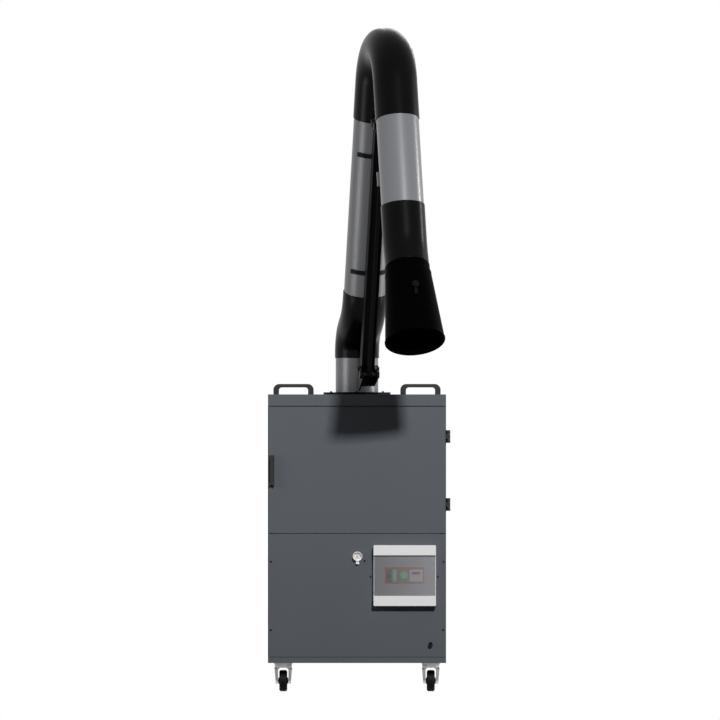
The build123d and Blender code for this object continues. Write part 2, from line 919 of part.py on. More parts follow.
def fork_side(y, crown, inset, low):
    """The fork seen from the side: a long crown that narrows to the axle, drawn inset all round."""
    axle_y = y + castor_trail
    foot = fork_foot_length - inset
    return Plane.YZ * make_face(Polyline(
        (y - race_radius + inset, crown), (y + race_radius + fork_sheet - inset, crown),
        (axle_y + foot, axle_level), (axle_y + foot - inset, low), (axle_y - foot + inset, low),
        (axle_y - foot, axle_level), close=True,
    ))


def castor_fork(x, y, crown):
    """The pressed fork: a crown that narrows into two legs, with flanges turned out at their edges."""
    axle_y = y + castor_trail
    low = axle_level - axle_head_radius - fork_flange
    front = Plane.XZ * make_face(Polyline(
        (-fork_foot_half, low), (fork_foot_half, low), (fork_foot_half, axle_level),
        (fork_crown_half, crown), (-fork_crown_half, crown), (-fork_foot_half, axle_level), close=True,
    ))
    shape = extrude(front, half_depth, both=True)
    shoulders = shape.edges().filter_by(Axis.Y).group_by(Axis.Z)[-1]
    shape = Pos(x, 0, 0) * fillet(shoulders, fork_shoulder_round)
    side = extrude(fork_side(y, crown, 0, low), fork_crown_half + overrun, both=True)
    body = shape & (Pos(x, 0, 0) * side)
    arch = box(
        x - fork_inner, x + fork_inner, y - half_depth, y + half_depth,
        low - overrun, crown - fork_sheet,
    )
    arch = fillet(arch.edges().filter_by(Axis.Y).group_by(Axis.Z)[-1], fork_arch_round)
    body -= arch
    hollow = fork_side(y, crown - fork_sheet, fork_flange, low - overrun)
    for turned in (-1, 1):
        reach = fork_crown_half - fork_outer
        channel = extrude(hollow, reach / 2, both=True)
        body -= Pos(x + turned * (fork_outer + reach / 2), 0, 0) * channel
    body -= drum(
        (x - fork_crown_half, axle_y, axle_level), (1, 0, 0), axle_radius + running_gap,
        2 * fork_crown_half,
    )
    return body


def castor_axle(x, y):
    """The axle bolt with a head and a nut outside the fork."""
    axle_y = y + castor_trail
    bolt = drum((x - fork_outer, axle_y, axle_level), (1, 0, 0), axle_radius, 2 * fork_outer)
    for side in (-1, 1):
        bolt += drum(
            (x + side * fork_outer, axle_y, axle_level), (side, 0, 0), axle_head_radius, axle_head_height
        )
    return bolt


def castor_wheel(x, y):
    """A solid wheel with a rounded tread, dished sides and a hub at the fork."""
    axle_y = y + castor_trail
    half = wheel_width / 2
    reach = half + hub_reach
    profile = Plane.XY * make_face(Polyline(
        (axle_radius + running_gap, -reach), (hub_radius, -reach), (hub_radius, -half + hub_recess),
        (wheel_rim_radius, -half + hub_recess), (wheel_rim_radius, -half),
        (wheel_radius - tread_round, -half), (wheel_radius, -half + tread_round),
        (wheel_radius, half - tread_round), (wheel_radius - tread_round, half),
        (wheel_rim_radius, half), (wheel_rim_radius, half - hub_recess),
        (hub_radius, half - hub_recess), (hub_radius, reach), (axle_radius + running_gap, reach),
        close=True,
    ))
    turned = revolve(profile, Axis.Y)
    return Pos(x, axle_y, axle_level) * Rot(0, 0, 90) * turned


plates = []
rear_forks = []
for name, x, y in (
    ("front_left", -castor_x, -castor_y), ("front_right", castor_x, -castor_y),
    ("rear_left", -castor_x, castor_y - castor_trail), ("rear_right", castor_x, castor_y - castor_trail),
):
    plates.append(castor_plate(x, y))
    fork = castor_fork(x, y, fork_top)
    fork -= drum((x, y, race_low - overrun), (0, 0, 1), kingpin_radius + running_gap, 2 * overrun)
    if name.startswith("front"):
        save(f"castor_fork_{name}", fork, castor_axle(x, y))
    else:
        rear_forks += [fork, castor_axle(x, y)]
    save(f"castor_wheel_{name}", castor_wheel(x, y))
save("castor_plates", *plates)
save("castor_forks_rear", *rear_forks)

# Arm. Every piece is made in the arm's upright plane, then turned by arm_yaw.

ARM_PLANE = Plane(origin=(0, 0, 0), x_dir=(0, -1, 0), z_dir=(-1, 0, 0))


def at(reach, height, side=0):
    """A point of the arm's plane, as a place in space."""
    return Vector(side, -reach, height)


def space(direction):
    """A direction of the arm's plane, as a direction in space."""
    return Vector(0, -direction[0], direction[1])


def along(start, direction, distance, across=0):
    """The point a distance along a direction, and across to its right-hand side."""
    reach, height = direction
    return (
        start[0] + distance * reach + across * height,
        start[1] + distance * height - across * reach,
    )


def plate(points, side, thickness):
    """A flat plate with the given outline, from one side of the arm's plane outwards."""
    face = ARM_PLANE * make_face(Polyline(*points, close=True))
    return Pos(side + thickness, 0, 0) * extrude(face, thickness)


def link(start, end, radius, side, thickness):
    """A plate with round ends that joins two pivots."""
    length = hypot(end[0] - start[0], end[1] - start[1])
    direction = ((end[0] - start[0]) / length, (end[1] - start[1]) / length)
    corners = [
        along(start, direction, 0, -radius), along(start, direction, 0, radius),
        along(start, direction, length, radius), along(start, direction, length, -radius),
    ]
    solid = plate(corners, side, thickness)
    for pivot in (start, end):
        solid += drum(at(*pivot, side), (1, 0, 0), radius, thickness)
    return solid


def cross(pivot, radius, half_length):
    """A round bar across the arm's plane."""
    return drum(at(*pivot, -half_length), (1, 0, 0), radius, 2 * half_length)


def place(*shapes):
    """The shapes turned about the swivel axis to the arm's parked direction."""
    return [Rot(0, 0, arm_yaw) * shape for shape in shapes]


lower_up = (sin(radians(lower_lean)), cos(radians(lower_lean)))
upper_down = (sin(radians(upper_lean)), -cos(radians(upper_lean)))
hood_down = (sin(radians(hood_lean)), -cos(radians(hood_lean)))
lower_foot = (lower_tube_reach, deck + lower_tube_rise)
lower_head = along(lower_foot, lower_up, lower_tube_length)
upper_head = (upper_tube_reach, deck + upper_tube_rise)
upper_foot = along(upper_head, upper_down, upper_tube_length)
duct_top = deck + duct_top_rise

beam_line = along(lower_foot, lower_up, 0, beam_offset)
lower_pivot = along(beam_line, lower_up, (deck + lower_pivot_rise - beam_line[1]) / lower_up[1])
elbow_pivot = along(beam_line, lower_up, (deck + elbow_rise - beam_line[1]) / lower_up[1])
tie_foot = along(lower_pivot, lower_up, 0, tie_offset)
tie_head = along(elbow_pivot, lower_up, 0, tie_offset)
upper_line = along(upper_head, upper_down, 0, beam_offset)
upper_pivot = along(upper_line, upper_down, (deck + elbow_rise - upper_line[1]) / upper_down[1])
hood_pivot = along(upper_line, upper_down, hood_pivot_drop)
hose_corner = along(upper_foot, upper_down, hood_corner_drop)
neck_top = along(hose_corner, hood_down, hood_hose_end)

half_beam = beam_width / 2
cheek_side = half_beam + beam_slack
pivot_pad = beam_depth / 2

# Swivel flange on the lid, and the duct with its bracket that turn on it

flange = drum((0, 0, deck), (0, 0, 1), flange_radius, flange_thickness)
flange += drum((0, 0, deck), (0, 0, 1), duct_inner - running_gap, flange_thickness + spigot_height)
flange -= drum(
    (0, 0, deck - overrun), (0, 0, 1), duct_inner - spigot_wall,
    flange_thickness + spigot_height + 2 * overrun,
)
for number in range(flange_bolts):
    angle = 2 * pi * (number + 0.5) / flange_bolts
    flange += drum(
        (flange_bolt_circle * cos(angle), flange_bolt_circle * sin(angle), deck + flange_thickness),
        (0, 0, 1), flange_bolt_radius, flange_bolt_radius,
    )
save("swivel_flange", flange)

duct_low = deck + flange_thickness + hinge_slack
duct = pipe((0, 0, duct_low), (0, 0, 1), duct_radius, duct_inner, duct_top - duct_low)
save("swivel_duct", *place(duct))

bracket_low = duct_low + bracket_rise
bracket_left_low = duct_low + bracket_left_rise
bracket_high = lower_pivot[1] + pivot_pad
bracket_back = duct_radius - bracket_back_gap


def bracket_cheek(low, side):
    """One cheek of the bracket, from its web to both lower pivots, with its underside at low."""
    return plate([
        (bracket_web_reach, bracket_high), (lower_pivot[0], bracket_high),
        (tie_foot[0], tie_foot[1] + pivot_pad), (tie_foot[0] + pivot_pad, tie_foot[1]),
        (tie_foot[0] + pivot_pad, tie_foot[1] - pivot_pad), (lower_pivot[0], low),
        (bracket_web_reach, low),
    ], side, cheek)


bracket = bracket_cheek(bracket_low, cheek_side) + bracket_cheek(bracket_left_low, -cheek_side - cheek)
bracket += box(
    -cheek_side - cheek, cheek_side + cheek, -bracket_web_reach - bracket_web, -bracket_web_reach,
    bracket_low, bracket_high,
)
bracket += box(
    -bracket_spine_half, bracket_spine_half, -bracket_web_reach - overrun, -bracket_back,
    bracket_low, bracket_high,
)
bracket -= drum((0, 0, deck), (0, 0, 1), duct_radius + saddle_gap, lower_tube_rise)
for pivot in (lower_pivot, tie_foot):
    bracket -= cross(pivot, pivot_radius + running_gap, half_width)
save("pivot_bracket", *place(bracket))


def knob(pivot, side):
    """A lobed friction knob that stands out from a side."""
    centre = at(*pivot, side)
    grip = drum(centre, (1, 0, 0), knob_radius, knob_height)
    for number in range(knob_lobes):
        angle = 2 * pi * number / knob_lobes
        spot = centre + Vector(0, knob_radius * cos(angle), knob_radius * sin(angle))
        grip += drum(spot, (1, 0, 0), knob_lobe_radius, knob_height)
    return grip


def pivot_bolt(pivot, with_knob):
    """A pivot bolt through two cheeks, with a knob or a head at its right end."""
    reach = cheek_side + cheek
    bolt = cross(pivot, pivot_radius, reach)
    bolt += drum(at(*pivot, -reach), (-1, 0, 0), pivot_head, pivot_head_height)
    if with_knob:
        return bolt + knob(pivot, reach)
    return bolt + drum(at(*pivot, reach), (1, 0, 0), pivot_head, pivot_head_height)


save("lower_pivot_bolts", *place(pivot_bolt(lower_pivot, True), pivot_bolt(tie_foot, False)))
save("elbow_pivot_bolts", *place(
    pivot_bolt(elbow_pivot, True), pivot_bolt(tie_head, False), pivot_bolt(upper_pivot, True),
))
save("hood_pivot_bolt", *place(pivot_bolt(hood_pivot, True)))

# Beams: pressed channels with bushed ends, the tie rod and the elbow plates


def beam(start, end, up, open_side):
    """A channel between two pivots; open_side is 1 away from the tube, -1 towards it."""
    length = hypot(end[0] - start[0], end[1] - start[1])
    inner = pivot_pad - beam_sheet
    body = link(start, end, pivot_pad, -half_beam, beam_width)
    low = -inner if open_side > 0 else -pivot_pad - overrun
    high = pivot_pad + overrun if open_side > 0 else inner
    corners = [
        along(start, up, -beam_depth, low), along(start, up, -beam_depth, high),
        along(start, up, length + beam_depth, high), along(start, up, length + beam_depth, low),
    ]
    body -= plate(corners, -half_beam + beam_sheet, beam_width - 2 * beam_sheet)
    for pivot in (start, end):
        body += cross(pivot, pivot_boss, half_beam)
        body -= cross(pivot, pivot_radius + running_gap, half_width)
    return body


save("lower_beam", *place(beam(lower_pivot, elbow_pivot, lower_up, 1)))
save("upper_beam", *place(beam(upper_pivot, hood_pivot, upper_down, 1)))

tie = link(tie_foot, tie_head, tie_radius, -tie_radius, 2 * tie_radius)
for pivot, slack in ((tie_foot, running_gap), (tie_head, tie_clearance)):
    tie += cross(pivot, tie_eye_radius, tie_eye_half_width)
    tie -= cross(pivot, pivot_radius + slack, half_width)
save("tie_rod", *place(tie))

elbow_middle = ((elbow_pivot[0] + upper_pivot[0]) / 2, elbow_pivot[1])
elbow = cross(elbow_middle, pivot_radius, cheek_side)
for side in (cheek_side, -cheek_side - cheek):
    elbow += link(elbow_pivot, upper_pivot, pivot_pad, side, cheek)
    elbow += link(elbow_pivot, tie_head, pivot_pad, side, cheek)
for pivot in (elbow_pivot, tie_head, upper_pivot):
    elbow -= cross(pivot, pivot_radius + running_gap, half_width)
save("elbow_plate", *place(elbow))

# Tubes, and the saddles that hold them to their beams


def arm_tube(name, start, direction, length):
    """A tube between two hoses, longer than what shows by what each hose covers."""
    foot = along(start, direction, -tube_in_hose)
    save(name, *place(pipe(
        at(*foot), space(direction), duct_radius, duct_inner, length + 2 * tube_in_hose
    )))


arm_tube("lower_tube", lower_foot, lower_up, lower_tube_length)
arm_tube("upper_tube", upper_head, upper_down, upper_tube_length)


def saddle(foot, direction, distance, height, angle, ear):
    """A strap that hugs the tube over an arc on the beam's side, with its spacer block."""
    inner = duct_radius + saddle_gap
    strap = Cylinder(inner + saddle_sheet, height) - Cylinder(inner, height + overrun)
    edge = radians(angle)
    reach = 2 * duct_radius
    wedge = make_face(Polyline(
        (0, 0), (reach * cos(edge), -reach * sin(edge)), (2 * reach, 0),
        (reach * cos(edge), reach * sin(edge)), close=True,
    ))
    hug = strap & extrude(Pos(0, 0, -height) * wedge, 2 * height)
    for side in (-1, 1):
        hug += Rot(0, 0, side * angle) * box(
            inner, inner + ear, -saddle_sheet / 2, saddle_sheet / 2, -height / 2, height / 2
        )
    hug += box(
        inner, beam_offset - pivot_pad, -saddle_block / 2, saddle_block / 2, -height / 2, height / 2
    )
    hug -= Cylinder(inner, height + overrun)
    frame = Plane(
        origin=at(*along(foot, direction, distance)), x_dir=space((direction[1], -direction[0])),
        z_dir=space(direction),
    )
    return frame * hug


save("lower_saddles", *place(*[
    saddle(
        lower_foot, lower_up, share * lower_tube_length, lower_saddle_height, lower_saddle_angle,
        saddle_sheet,
    ) for share in lower_saddle_shares
]))
save("upper_saddle", *place(saddle(
    upper_head, upper_down, upper_saddle_share * upper_tube_length, upper_saddle_height,
    upper_saddle_angle, upper_saddle_ear,
)))

# Hoses, pulled over the hidden ends of the tubes

hose_inner = duct_radius + hose_slack
hose_outer = hose_inner + hose_wall


def hose(name, points, radii):
    """A round hose with its bore, along straight runs and tangent arcs."""
    path = FilletPolyline(*[at(*point) for point in points], radius=radii)
    ring = Circle(hose_outer) - Circle(hose_inner)
    tube = sweep(Plane(origin=path @ 0, z_dir=path % 0) * ring, path=path)
    print(name, "bend radii", radii, "swept share", round(tube.volume / (ring.area * path.length), 3))
    save(name, *place(tube))


hose_foot = deck + base_hose_foot
hose(
    "base_hose",
    [
        (0, hose_foot), (0, hose_foot + base_hose_rise),
        along(lower_foot, lower_up, -base_hose_lead), lower_foot,
    ],
    base_hose_radii,
)
gap_reach = upper_head[0] - lower_head[0]
gap_rise = upper_head[1] - lower_head[1]
apex_turn = radians(lower_lean + upper_lean)
apex_lead = (gap_rise * upper_down[0] - gap_reach * upper_down[1]) / sin(apex_turn)
top_hose_radius = (apex_lead - top_hose_run) / tan((pi - apex_turn) / 2)
hose(
    "top_hose", [lower_head, along(lower_head, lower_up, apex_lead), upper_head], top_hose_radius,
)
hose(
    "hood_hose", [upper_foot, hose_corner, along(neck_top, hood_down, hose_over_neck)],
    hood_hose_radius,
)

# Hood collar with its bracket, and the hood that turns round it


def hood_spot(level, across=0):
    """A point of the arm's plane by its distance down the hood's axis."""
    return along(hose_corner, hood_down, level, across)


def hood_pipe(outer, inner, start, end):
    """A tube on the hood's axis."""
    return pipe(at(*hood_spot(start)), space(hood_down), outer, inner, end - start)


neck_inner = duct_radius - neck_wall
sleeve_inner = duct_radius + neck_slack
ring_outer = duct_radius + ring_wall
collar = hood_pipe(duct_radius, neck_inner, hood_hose_end, neck_end)
collar += hood_pipe(ring_outer, neck_inner, ring_start, hood_start - neck_slack)
collar += hood_pipe(duct_radius + neck_lip, neck_inner, hood_shoulder + neck_slack, neck_end)
grip_spot = hood_spot(grip_level, grip_offset)
for side in (cheek_side, -cheek_side - cheek):
    collar += link(grip_spot, hood_pivot, grip_radius, side, cheek)
    collar += drum(at(*hood_pivot, side), (1, 0, 0), pivot_pad, cheek)
    corners = [
        hood_spot(grip_level - grip_half_height, ring_outer / 2),
        hood_spot(grip_level - grip_half_height, grip_offset),
        hood_spot(grip_level + grip_half_height, grip_offset),
        hood_spot(grip_level + grip_half_height, ring_outer / 2),
    ]
    collar += plate(corners, side, cheek)
collar -= hood_pipe(neck_inner, 0, 0, hood_end)
collar -= cross(hood_pivot, pivot_radius + running_gap, half_width)
save("hood_collar", *place(collar))

shoulder_radius = duct_radius + neck_lip + neck_slack
profile = make_face(Polyline(
    (sleeve_inner, hood_start), (sleeve_inner, hood_shoulder), (shoulder_radius, hood_shoulder),
    (shoulder_radius, hood_flare_start), (hood_mouth_radius - hood_sheet, hood_end),
    (hood_mouth_radius, hood_end), (shoulder_radius + hood_sheet, hood_flare_start),
    (shoulder_radius + hood_sheet, hood_shoulder - hood_sheet), (sleeve_inner + hood_sheet, hood_start),
    close=True,
))
profile += Pos(hood_mouth_radius - hood_rim_radius / 2, hood_end) * Circle(hood_rim_radius)
hood = Plane(
    origin=at(*hose_corner), x_dir=(1, 0, 0), z_dir=space(hood_down)
) * revolve(Plane.XZ * profile, Axis.Z)
damper_spot = at(*hood_spot(damper_level))
damper_out = -space((hood_down[1], -hood_down[0]))
hood -= drum(
    damper_spot - damper_out * damper_radius * 2, damper_out, spindle_radius + running_gap,
    4 * damper_radius,
)
save("hood", *place(hood))

blade = drum(damper_spot - Vector(damper_sheet / 2, 0, 0), (1, 0, 0), damper_radius, damper_sheet)
blade += drum(
    damper_spot - damper_out * spindle_reach, damper_out, spindle_radius, 2 * spindle_reach
)
save("damper_blade", *place(blade))
knob_foot = damper_spot + damper_out * spindle_reach
handle_knob = drum(knob_foot, damper_out, damper_knob_radius, damper_knob_height)
handle_knob += Plane(origin=knob_foot, x_dir=space(hood_down), z_dir=damper_out) * box(
    0, damper_lever, -damper_lever_width / 2, damper_lever_width / 2, 0, damper_knob_height / 2
)
save("damper_knob", *place(handle_knob))
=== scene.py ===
# %% [markdown]
# This lesson dresses a CAD model of a mobile welding fume extractor: a grey steel cabinet on
# castors, with a jointed hose arm above it. The CAD model brings every rigid piece in its true
# place, so the work here is light, camera, finishes, three flexible hoses and the small trim of
# the front.

import json
from math import cos, pi, radians, sin

import bmesh
import bpy
from mathutils import Matrix, Vector


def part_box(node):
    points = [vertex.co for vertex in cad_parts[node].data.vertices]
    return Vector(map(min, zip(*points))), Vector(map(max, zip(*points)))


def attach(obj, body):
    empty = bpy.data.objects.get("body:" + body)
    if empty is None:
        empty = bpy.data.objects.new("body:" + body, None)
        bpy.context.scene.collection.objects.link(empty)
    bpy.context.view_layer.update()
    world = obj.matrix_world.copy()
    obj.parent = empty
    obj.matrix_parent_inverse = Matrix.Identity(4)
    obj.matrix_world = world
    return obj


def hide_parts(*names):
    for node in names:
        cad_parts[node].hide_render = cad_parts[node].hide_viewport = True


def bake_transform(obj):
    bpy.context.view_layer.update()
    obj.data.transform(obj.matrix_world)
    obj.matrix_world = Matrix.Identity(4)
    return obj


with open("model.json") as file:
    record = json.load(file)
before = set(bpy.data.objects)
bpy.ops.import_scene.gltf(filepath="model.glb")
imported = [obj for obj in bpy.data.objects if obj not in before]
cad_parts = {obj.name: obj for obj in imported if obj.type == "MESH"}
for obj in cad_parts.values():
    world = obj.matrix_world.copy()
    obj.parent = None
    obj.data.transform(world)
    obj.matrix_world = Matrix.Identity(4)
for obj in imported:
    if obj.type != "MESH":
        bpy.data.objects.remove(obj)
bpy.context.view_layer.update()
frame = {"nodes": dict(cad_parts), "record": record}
nodes = frame["nodes"]
record = frame["record"]
MM = 0.001

# %% [markdown]
# The trim of this scene sits on CAD pieces. Its places could be typed in again, but then they would
# go wrong as soon as the CAD changes. So a small helper reads a piece's corners from the frame, in
# millimetres, which are handier than metres for a machine of this size.

# %% A helper for a CAD piece's corners
def corners(name):
    """The lowest and highest corner of a CAD piece, in millimetres, to a hundredth."""
    low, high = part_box(name)
    return [round(v / MM, 2) for v in low], [round(v / MM, 2) for v in high]


DECK = corners("lid")[1][2]
print("top of the lid:", DECK, "mm above the floor")

# %% [markdown]
# The picture that this object is matched to is a straight front view without perspective. An
# orthographic camera gives that: only its width matters, not its distance. Its width is the one
# number that ties pixels to metres.

# %% An orthographic camera in front
VIEW_WIDTH = 2.7
VIEW_CENTRE = (0.01125, 1.2424)
CAMERA_DISTANCE = 6.0
CAMERA_REACH = 50.0
PICTURE_PIXELS = 720
camera_data = bpy.data.cameras.new("front_camera")
camera_data.type = "ORTHO"
camera_data.ortho_scale = VIEW_WIDTH
camera_data.clip_end = CAMERA_REACH
camera = bpy.data.objects.new("front_camera", camera_data)
camera.location = (VIEW_CENTRE[0], -CAMERA_DISTANCE, VIEW_CENTRE[1])
camera.rotation_euler = (radians(90), 0, 0)
bpy.context.scene.collection.objects.link(camera)
bpy.context.scene.camera = camera
print("one pixel of the picture is", round(VIEW_WIDTH / PICTURE_PIXELS / MM, 2), "mm")

# %% [markdown]
# The shadow that the hood throws on the door tells where the main lamp is: it lies to the left of
# the hood and below it, with a rather sharp edge. So the key lamp is small, in front, to the right
# and above. A tall strip at the right draws the bright line along the right side of every tube. A
# low one at the left lights mostly the rear leg of the arm, and a wide one behind lifts the top of
# the lid. Area lamps are chosen because their size sets how soft a shadow is.

# %% Lamps
def add_lamp(name, place, aim, size, power):
    """An area lamp that shines from place towards aim."""
    data = bpy.data.lights.new(name, "AREA")
    data.shape = "RECTANGLE"
    data.size, data.size_y = size
    data.energy = power
    lamp = bpy.data.objects.new(name, data)
    lamp.location = place
    lamp.rotation_euler = (Vector(aim) - Vector(place)).to_track_quat("-Z", "Y").to_euler()
    bpy.context.scene.collection.objects.link(lamp)


add_lamp("key_lamp", (1.1, -4.9, 3.05), (0.05, -0.4, 1.3), (0.26, 0.26), power=262)
add_lamp("side_strip", (3.2, 0.35, 1.7), (0.0, -0.2, 1.5), (0.5, 2.2), power=66)
add_lamp("left_strip", (-2.2, -1.0, 1.2), (0.0, -0.25, 1.9), (0.9, 1.1), power=18)
add_lamp("back_fill", (0.8, 4.0, 4.2), (0.0, 0.0, 1.0), (3.0, 3.0), power=190)

# %% [markdown]
# Materials and the world are built from nodes, and each node takes three or four lines of code.
# Four helpers add one node each and give back its result, so that a material below reads like a
# recipe. An input can be a plain value or the result of another node.

# %% Helpers that add one node each
def feed(tree, socket, value):
    """Set an input to a plain value, or link it to another node's result."""
    if isinstance(value, bpy.types.NodeSocket):
        tree.links.new(value, socket)
    else:
        socket.default_value = value


def math_node(tree, operation, first, second):
    """The result of a sum on two values."""
    node = tree.nodes.new("ShaderNodeMath")
    node.operation = operation
    feed(tree, node.inputs[0], first)
    feed(tree, node.inputs[1], second)
    return node.outputs[0]


def range_node(tree, value, result, source=(0.0, 1.0)):
    """A value carried over from a source range to a range of results."""
    node = tree.nodes.new("ShaderNodeMapRange")
    feed(tree, node.inputs["Value"], value)
    node.inputs["From Min"].default_value, node.inputs["From Max"].default_value = source
    node.inputs["To Min"].default_value, node.inputs["To Max"].default_value = result
    return node.outputs["Result"]


def mix_node(tree, factor, first, second):
    """The first colour where the factor is 0, the second where it is 1."""
    node = tree.nodes.new("ShaderNodeMix")
    node.data_type = "RGBA"
    for label, value in (("Factor", factor), ("A", first), ("B", second)):
        feed(tree, node.inputs[label], value)
    return node.outputs["Result"]


print("node helpers ready")

# %% [markdown]
# Round the machine stands nothing but white. If the world lit the machine with that white, every
# shadow would be gone. Light Path tells which rays come from the eye: straight, by a mirror-like
# surface or through glass. Only those see white, and all others find almost no light there.

# %% A world that is white to the eye and dark to the light
WORLD_FILL, WORLD_SEEN = 0.02, 1.0
WHITE = (1, 1, 1, 1)


def rays_from_the_eye(tree):
    """1 for rays of the camera, by a glossy surface or through glass, and 0 for all others."""
    path = tree.nodes.new("ShaderNodeLightPath")
    seen = math_node(
        tree, "MAXIMUM", path.outputs["Is Camera Ray"], path.outputs["Is Glossy Ray"]
    )
    return math_node(tree, "MAXIMUM", seen, path.outputs["Is Transmission Ray"])


world = bpy.data.worlds.new("studio")
bpy.context.scene.world = world
world.use_nodes = True
tree = world.node_tree
tree.nodes.clear()
background = tree.nodes.new("ShaderNodeBackground")
background.inputs["Color"].default_value = WHITE
strength = range_node(tree, rays_from_the_eye(tree), (WORLD_FILL, WORLD_SEEN))
tree.links.new(strength, background.inputs["Strength"])
world_out = tree.nodes.new("ShaderNodeOutputWorld")
tree.links.new(background.outputs[0], world_out.inputs[0])
bpy.context.scene.view_settings.view_transform = "Standard"
print("world light:", WORLD_FILL, "and to the eye:", WORLD_SEEN)

# %% [markdown]
# The floor is a plain pale sheet. It's stage, not part of the object. A real pale floor would throw
# so much light up that the hood's shadow on the door would fade. So the floor is darker to light
# that bounces than to the eye: a black cloth just outside the picture does the same in a studio. An
# even glow, for rays from the eye alone, grows with the distance, so that the floor stays pale far
# away and runs into the white of the world.

# %% The floor's material
FLOOR_COLOUR = (0.5, 0.5, 0.5, 1)
BOUNCE_COLOUR = (0.06, 0.06, 0.06, 1)
GLOW = (0.5, 1.0)
GLOW_DISTANCES = (1.5, 7.0)
FLOOR_ROUGHNESS = 0.9
FLOOR_GLOSS = 0.1
FLOOR_GRAIN = 40
FLOOR_BUMP = 0.02


def studio_floor(name):
    """A pale matt floor: dark to bounced light, with a glow that grows far away."""
    material = bpy.data.materials.new(name)
    material.use_nodes = True
    tree = material.node_tree
    shader = tree.nodes["Principled BSDF"]
    shader.inputs["Roughness"].default_value = FLOOR_ROUGHNESS
    shader.inputs["Specular IOR Level"].default_value = FLOOR_GLOSS
    shader.inputs["Emission Color"].default_value = WHITE
    path = tree.nodes.new("ShaderNodeLightPath")
    shade = mix_node(tree, path.outputs["Is Diffuse Ray"], FLOOR_COLOUR, BOUNCE_COLOUR)
    tree.links.new(shade, shader.inputs["Base Color"])
    where = tree.nodes.new("ShaderNodeTexCoord")
    away = tree.nodes.new("ShaderNodeVectorMath")
    away.operation = "LENGTH"
    tree.links.new(where.outputs["Object"], away.inputs[0])
    rise = range_node(tree, away.outputs["Value"], GLOW, GLOW_DISTANCES)
    glow = math_node(tree, "MULTIPLY", rays_from_the_eye(tree), rise)
    tree.links.new(glow, shader.inputs["Emission Strength"])
    noise = tree.nodes.new("ShaderNodeTexNoise")
    noise.inputs["Scale"].default_value = FLOOR_GRAIN
    bump = tree.nodes.new("ShaderNodeBump")
    bump.inputs["Strength"].default_value = FLOOR_BUMP
    tree.links.new(noise.outputs["Fac"], bump.inputs["Height"])
    tree.links.new(bump.outputs["Normal"], shader.inputs["Normal"])
    return material


print("glow of the floor:", GLOW, "between", GLOW_DISTANCES, "m")

# %% [markdown]
# The sheet itself is one square. It reaches so far that its edge is never in a picture.

# %% The floor
FLOOR_SIZE = 40.0
half = FLOOR_SIZE / 2
floor_corners = [(-half, -half, 0), (half, -half, 0), (half, half, 0), (-half, half, 0)]
floor_mesh = bpy.data.meshes.new("floor")
floor_mesh.from_pydata(floor_corners, [], [(0, 1, 2, 3)])
floor_mesh.materials.append(studio_floor("pale_floor"))
floor = bpy.data.objects.new("floor", floor_mesh)
bpy.context.scene.collection.objects.link(floor)
print("floor", FLOOR_SIZE, "m square")

# %% [markdown]
# A node group is a small machine with named inputs and outputs. Three of them serve almost every
# finish here: a fine skin for paint and moulded plastic, settled dust on faces that look up, and
# drawn lines for rolled or brushed metal. Each could be repeated in every material, but a group is
# built once and only gets other numbers in each. It gives out values that change over the surface,
# and the material puts them on its own shader.

# %% A helper that opens a node group with named sockets
def new_group(name, inputs, outputs):
    """An empty shader node group, with its input and output nodes."""
    group = bpy.data.node_groups.new(name, "ShaderNodeTree")
    for label, value in inputs.items():
        socket = group.interface.new_socket(label, in_out="INPUT", socket_type="NodeSocketFloat")
        socket.default_value = value
    for label in outputs:
        group.interface.new_socket(label, in_out="OUTPUT", socket_type="NodeSocketFloat")
    return group, group.nodes.new("NodeGroupInput"), group.nodes.new("NodeGroupOutput")


def noise_on_surface(tree, scale, detail):
    """A noise that sticks to the piece, at a scale that is a number or a group's input."""
    place = tree.nodes.new("ShaderNodeTexCoord")
    noise = tree.nodes.new("ShaderNodeTexNoise")
    noise.inputs["Detail"].default_value = detail
    tree.links.new(place.outputs["Object"], noise.inputs["Vector"])
    feed(tree, noise.inputs["Scale"], scale)
    return noise.outputs["Fac"]


def group_node(tree, group, **values):
    """A group placed in a material, with its own values."""
    node = tree.nodes.new("ShaderNodeGroup")
    node.node_tree = group
    for label, value in values.items():
        node.inputs[label].default_value = value
    return node


print("group helpers ready")

# %% [markdown]
# Powder coat melts into a skin with a slight orange peel, and a moulding takes the texture of its
# mould. Both are too fine for the mesh, so a small noise gives a height for the bump. A second,
# large noise gives soft patches, because no big sheet has exactly one shade.

# %% The fine skin group
SKIN_DETAIL = 3
CLOUD_DETAIL = 4
skin_group, skin_in, skin_out = new_group(
    "fine_skin", {"Size": 900.0, "Cloud": 3.0}, ["Height", "Patches"]
)
grains = noise_on_surface(skin_group, skin_in.outputs["Size"], SKIN_DETAIL)
clouds = noise_on_surface(skin_group, skin_in.outputs["Cloud"], CLOUD_DETAIL)
skin_group.links.new(grains, skin_out.inputs["Height"])
skin_group.links.new(clouds, skin_out.inputs["Patches"])
print("group", skin_group.name, [socket.name for socket in skin_group.interface.items_tree])

# %% [markdown]
# A workshop machine gathers dust, and gathers it on faces that look up. The upward part of the
# surface's normal tells where that is. Painting it by hand would give the same, but only from one
# side and only for one shape. A noise breaks the film up.

